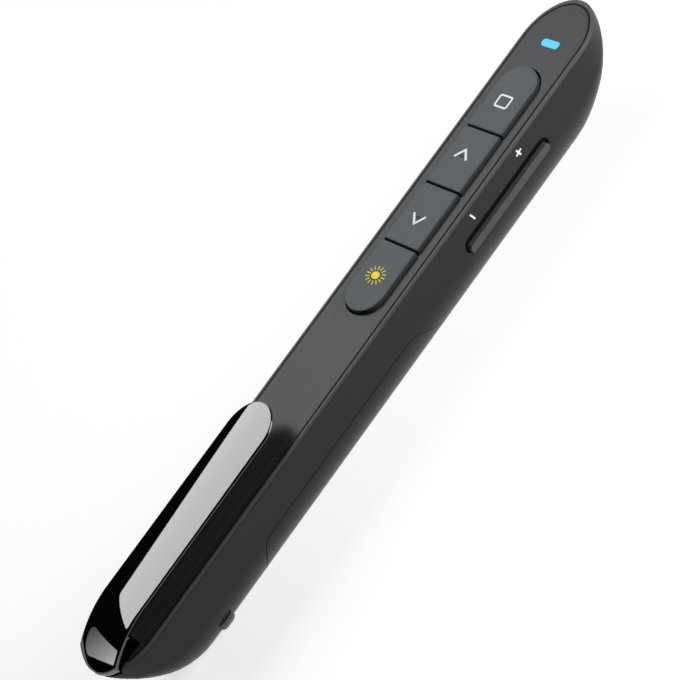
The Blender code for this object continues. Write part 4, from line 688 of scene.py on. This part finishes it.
def key_slate():
    """Blue-grey rubberised keys under the fine grain, with painted shade: the walls below the top edge take a darker
    base colour.
    """
    made, tree, shader = material("key_slate")
    place = add(tree, "ShaderNodeTexCoord")
    split = add(tree, "ShaderNodeSeparateXYZ")
    feed(tree, split, Vector=place.outputs["Object"])
    # Painted shade: the base colour darkens on the walls below the top fillet
    height = add(tree, "ShaderNodeMapRange")
    feed(tree, height, Value=split.outputs["Z"], From_Min=KEY_TOP - KEY_FILLET, From_Max=KEY_TOP)
    tint = add(tree, "ShaderNodeMix", data_type="RGBA")
    tree.links.new(height.outputs[0], tint.inputs["Factor"])
    # Colour of the painted shade on the key walls
    tint.inputs[6].default_value = (0.045, 0.050, 0.058, 1)
    tint.inputs[7].default_value = (0.102, 0.114, 0.125, 1)
    grain = add(tree, "ShaderNodeGroup", node_tree=GRAIN)
    feed(tree, grain, Roughness=0.52, Spread=0.06)
    feed(tree, shader, Base_Color=tint.outputs[2], Roughness=grain.outputs["Roughness"],
         Normal=grain.outputs["Normal"], Specular_IOR_Level=0.25)
    return made


def board_green():
    """Solder mask with faint copper tracks under it, from a brick pattern along the board."""
    made, tree, shader = material("board_green")
    place = add(tree, "ShaderNodeTexCoord")
    tracks = add(tree, "ShaderNodeTexBrick")
    feed(tree, tracks, Vector=place.outputs["Object"], Color1=(0.015, 0.11, 0.05, 1), Color2=(0.02, 0.15, 0.07, 1),
         Mortar=(0.06, 0.25, 0.10, 1), Scale=600.0, Mortar_Size=0.03)
    feed(tree, shader, Base_Color=tracks.outputs["Color"], Roughness=0.4)
    return made


def cell_wrap():
    """The cell's printed film: a dark can with a lighter band at the nub's end, split along X."""
    made, tree, shader = material("cell_wrap")
    place = add(tree, "ShaderNodeTexCoord")
    split = add(tree, "ShaderNodeSeparateXYZ")
    feed(tree, split, Vector=place.outputs["Object"])
    nub_end = add(tree, "ShaderNodeMapRange")
    feed(tree, nub_end, Value=split.outputs["X"], From_Min=-0.0032, From_Max=-0.0030)
    tint = add(tree, "ShaderNodeMix", data_type="RGBA")
    tree.links.new(nub_end.outputs[0], tint.inputs["Factor"])
    tint.inputs[6].default_value = (0.02, 0.02, 0.022, 1)
    tint.inputs[7].default_value = (0.55, 0.36, 0.10, 1)
    feed(tree, shader, Base_Color=tint.outputs[2], Metallic=0.6, Roughness=0.3)
    return made


def light_cyan():
    """The lit window: an even cyan glow."""
    made, tree, shader = material("light_cyan")
    feed(tree, shader, Base_Color=(0.01, 0.03, 0.04, 1), Roughness=0.5, Specular_IOR_Level=0.1,
         Emission_Color=(0.13, 0.66, 0.92, 1), Emission_Strength=1.0)
    return made


GRAIN = make_grain_group()
BRUSH = make_brush_group()


def make_finishes():
    """One material for each slot of the record, and those of the print."""
    return {
        "shell_black": shell_black(),
        "brushed_panel": brushed("brushed_panel", (0.029, 0.031, 0.031), (0.052, 0.054, 0.054), 0.24, metallic=0.12,
                                 Specular_IOR_Level=0.14),
        # Near-black finish of the band round the panel: painted shade for the gap
        "cut_edge": brushed("cut_edge", (0.012, 0.012, 0.012), (0.02, 0.02, 0.02), 0.5, metallic=0.0,
                            Specular_IOR_Level=0.1),
        "key_slate": key_slate(),
        "gloss_black": polished("gloss_black", (0.0006, 0.0006, 0.0006), 0.03, IOR=1.9),
        "rocker_grey": plastic("rocker_grey", (0.085, 0.085, 0.086), 0.55, Specular_IOR_Level=0.25),
        # Near-black, with little gloss, for the rocker's sunk plate: painted shade in the slot's recess
        "rocker_painted_shade": plastic("rocker_painted_shade", (0.002, 0.002, 0.002), 0.55, Specular_IOR_Level=0.15),
        "light_cyan": light_cyan(),
        "board_green": board_green(),
        "steel": brushed("steel", (0.40, 0.40, 0.41), (0.62, 0.62, 0.63), 0.28, 4000.0, 200.0),
        "brass": brushed("brass", (0.50, 0.34, 0.12), (0.72, 0.53, 0.22), 0.25, 4000.0, 200.0),
        "lens_glass": polished("lens_glass", (0.50, 0.04, 0.04), 0.05, Coat_Weight=1.0),
        "chip_black": plastic("chip_black", (0.012, 0.012, 0.012), 0.5),
        "frame_grey": plastic("frame_grey", (0.09, 0.09, 0.09), 0.6),
        "cell_wrap": cell_wrap(),
        "magnet_nickel": plastic("magnet_nickel", (0.66, 0.65, 0.62), 0.18, metallic=1.0),
        "lead_red": plastic("lead_red", (0.40, 0.015, 0.012), 0.5),
        "lead_dark": plastic("lead_dark", (0.015, 0.015, 0.015), 0.5),
        "led_white": plastic("led_white", (0.75, 0.80, 0.80), 0.3),
        "print_dark": plastic("print_dark", (0.02, 0.022, 0.025), 0.6),
        "print_white": plastic("print_white", (0.97, 0.97, 0.97), 0.6),
        "print_yellow": plastic("print_yellow", (0.97, 0.80, 0.03), 0.6),
    }


def dress(piece, finish):
    """Give a piece its one material."""
    piece.data.materials.clear()
    piece.data.materials.append(FINISHES[finish])
    if hasattr(piece.data, "polygons"):
        piece.data.polygons.foreach_set("material_index", np.zeros(len(piece.data.polygons), dtype=np.int32))


# ---- stage

def make_floor():
    """A round pale floor that turns up at its rim as a quarter circle, far from the object.

    Seen by the camera, by gloss and through glass it has its own glow, and keeps more of its shadow towards the
    tail. All other light meets one pale colour.
    """
    rise = np.linspace(0, pi / 2, FLOOR_TURN_RINGS)[1:]
    wall = FLOOR_RADIUS + FLOOR_TURN
    radii = np.concatenate([np.linspace(0.02, FLOOR_RADIUS, FLOOR_RINGS), FLOOR_RADIUS + FLOOR_TURN * np.sin(rise),
                            [wall, wall]])
    heights = np.concatenate([np.zeros(FLOOR_RINGS), FLOOR_TURN * (1 - np.cos(rise)), [0.4, 0.5]])
    count = 96
    angle = np.linspace(0, 2 * pi, count, endpoint=False)
    points = np.stack([radii[:, None] * np.cos(angle), radii[:, None] * np.sin(angle),
                       np.repeat(heights[:, None], count, axis=1)], axis=-1).reshape(-1, 3)
    floor = mesh_object("floor", points, [ring_faces(len(radii), count), np.arange(count)[None]])
    made, tree, shader = material("floor_white")
    path = add(tree, "ShaderNodeLightPath")
    bounced = add(tree, "ShaderNodeMath", operation="MAXIMUM")
    tree.links.new(path.outputs["Is Glossy Ray"], bounced.inputs[0])
    tree.links.new(path.outputs["Is Transmission Ray"], bounced.inputs[1])
    seen = add(tree, "ShaderNodeMath", operation="MAXIMUM")
    tree.links.new(path.outputs["Is Camera Ray"], seen.inputs[0])
    tree.links.new(bounced.outputs[0], seen.inputs[1])
    place = add(tree, "ShaderNodeTexCoord")
    split = add(tree, "ShaderNodeSeparateXYZ")
    feed(tree, split, Vector=place.outputs["Object"])
    shade = add(tree, "ShaderNodeMapRange")
    feed(tree, shade, Value=split.outputs["X"], From_Min=SHADOW_START, From_Max=SHADOW_END,
         To_Min=SHADOW_STRONG, To_Max=SHADOW_WEAK)
    tint = add(tree, "ShaderNodeMix", data_type="RGBA")
    tree.links.new(seen.outputs[0], tint.inputs["Factor"])
    tint.inputs[6].default_value = FLOOR_COLOR
    tree.links.new(shade.outputs[0], tint.inputs[7])
    own = add(tree, "ShaderNodeMath", operation="MULTIPLY_ADD")
    tree.links.new(shade.outputs[0], own.inputs[0])
    own.inputs[1].default_value = GLOW_LOSS
    own.inputs[2].default_value = GLOW_FULL
    glow = add(tree, "ShaderNodeMath", operation="MULTIPLY")
    tree.links.new(seen.outputs[0], glow.inputs[0])
    tree.links.new(own.outputs[0], glow.inputs[1])
    feed(tree, shader, Base_Color=tint.outputs[2], Roughness=0.8, Specular_IOR_Level=0.0,
         Emission_Color=(1, 1, 1, 1), Emission_Strength=glow.outputs[0])
    floor.data.materials.append(made)


def area_light(name, place, target, size, power):
    """A soft rectangular lamp that faces a target."""
    lamp = bpy.data.lights.new(name, "AREA")
    lamp.shape = "RECTANGLE"
    lamp.size, lamp.size_y = size
    lamp.energy = power
    holder = bpy.data.objects.new(name, lamp)
    facing = (Vector(target) - Vector(place)).to_track_quat("-Z", "Y").to_matrix()
    holder.matrix_world = Matrix.Translation(place) @ facing.to_4x4()
    bpy.context.scene.collection.objects.link(holder)


def light_card(name, middle, half, corner, level_low, level_high):
    """An upright sheet of light behind the body, seen only by bounced rays.

    It is a rounded rectangle about a middle (x, z), turned in its own plane. Its strength grows evenly along X
    from one level at its -X end to the other at its +X end.
    """
    outline, _ = rounded_outline(-half[0], half[0], half[1], corner, corner)
    x = middle[0] + outline[:, 0] * np.cos(LIGHT_TURN) - outline[:, 1] * np.sin(LIGHT_TURN)
    z = middle[1] + outline[:, 0] * np.sin(LIGHT_TURN) + outline[:, 1] * np.cos(LIGHT_TURN)
    points = np.column_stack([x, np.full(len(x), LIGHT_PLANE), z])
    card = mesh_object(name, points, [np.arange(len(points))[None]])
    made, tree, shader = material(name)
    place = add(tree, "ShaderNodeTexCoord")
    split = add(tree, "ShaderNodeSeparateXYZ")
    feed(tree, split, Vector=place.outputs["Object"])
    level = add(tree, "ShaderNodeMapRange")
    feed(tree, level, Value=split.outputs["X"], From_Min=x.min(), From_Max=x.max(), To_Min=level_low,
         To_Max=level_high)
    feed(tree, shader, Base_Color=(0, 0, 0, 1), Roughness=1.0, Specular_IOR_Level=0.0,
         Emission_Color=(1, 1, 1, 1), Emission_Strength=level.outputs[0])
    card.data.materials.append(made)
    card.visible_camera = False
    card.visible_shadow = False


def make_lights():
    """A large sheet and a strip of light behind the body, which the clip and the panel mirror, a front lamp and
    a dim world."""
    light_card("light_sheet", SHEET_MIDDLE, SHEET_HALF, SHEET_CORNER, SHEET_LEVEL, SHEET_LEVEL)
    light_card("light_strip", STRIP_MIDDLE, STRIP_HALF, STRIP_CORNER, STRIP_LEVEL_LOW, STRIP_LEVEL_HIGH)
    area_light("front_soft", FRONT_PLACE, FRONT_TARGET, FRONT_SIZE, FRONT_POWER)
    world = bpy.data.worlds.new("dim_world")
    world.use_nodes = True
    sky = world.node_tree.nodes["Background"]
    sky.inputs["Color"].default_value = WORLD_COLOR
    sky.inputs["Strength"].default_value = WORLD_STRENGTH
    bpy.context.scene.world = world


def make_camera():
    """The camera, solved from the photographed outline."""
    data = bpy.data.cameras.new("camera")
    data.sensor_width = CAMERA_SENSOR
    data.lens = CAMERA_LENS
    data.clip_start = CAMERA_CLIP
    forward = Vector(CAMERA_FORWARD).normalized()
    right = Vector(CAMERA_RIGHT)
    right = (right - forward * right.dot(forward)).normalized()
    up = right.cross(forward)
    holder = bpy.data.objects.new("camera", data)
    matrix = Matrix((right, up, -forward)).transposed().to_4x4()
    matrix.translation = Vector(CAMERA_PLACE)
    holder.matrix_world = matrix
    bpy.context.scene.collection.objects.link(holder)
    bpy.context.scene.camera = holder


# ---- assembly

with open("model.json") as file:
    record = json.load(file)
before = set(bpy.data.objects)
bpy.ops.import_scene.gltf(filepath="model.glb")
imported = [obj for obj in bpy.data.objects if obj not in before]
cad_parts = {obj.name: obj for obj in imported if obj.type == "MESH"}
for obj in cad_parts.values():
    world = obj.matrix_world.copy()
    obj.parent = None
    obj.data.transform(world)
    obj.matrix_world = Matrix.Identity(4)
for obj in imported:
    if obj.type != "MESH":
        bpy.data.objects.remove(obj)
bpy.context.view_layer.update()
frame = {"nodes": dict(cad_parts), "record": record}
FINISHES = make_finishes()
slot_of = {item["node"]: item["material_slot"] for item in frame["record"]["subparts"]}
for node_name, node_object in frame["nodes"].items():
    dress(node_object, slot_of[node_name])

for node_name, body_name in (("body_shell", "handle"), ("battery_cover", "cover"), ("receiver_grip", "receiver"),
                             ("laser_bezel", "handle")):
    skin = smooth_copy(node_name, node_name + "_skin")
    dress(skin, slot_of[node_name])
    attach(skin, body_name)
    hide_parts(node_name)

clip_piece = make_clip()
dress(clip_piece, "gloss_black")
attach(clip_piece, "clip")
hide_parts("pen_clip")

for cap, node_name, body_name in make_keys():
    dress(cap, "key_slate")
    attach(cap, body_name)
    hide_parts(node_name)

# The dark band round the panel: painted shade for the gap
panel_gap_shade = make_panel_gap_shade()
dress(panel_gap_shade, "cut_edge")
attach(panel_gap_shade, "handle")

rocker_painted_shade, rocker_ridge = make_rocker()
# The plate takes the near-black painted shade of the recess, the ridge the rocker's grey
for piece, finish in ((rocker_painted_shade, "rocker_painted_shade"), (rocker_ridge, "rocker_grey")):
    dress(piece, finish)
    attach(piece, "rocker")
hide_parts("volume_rocker")

for mark, body_name, finish in make_print():
    dress(mark, finish)
    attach(mark, body_name)

make_floor()
make_lights()
make_camera()
bpy.context.scene.view_settings.view_transform = "Standard"
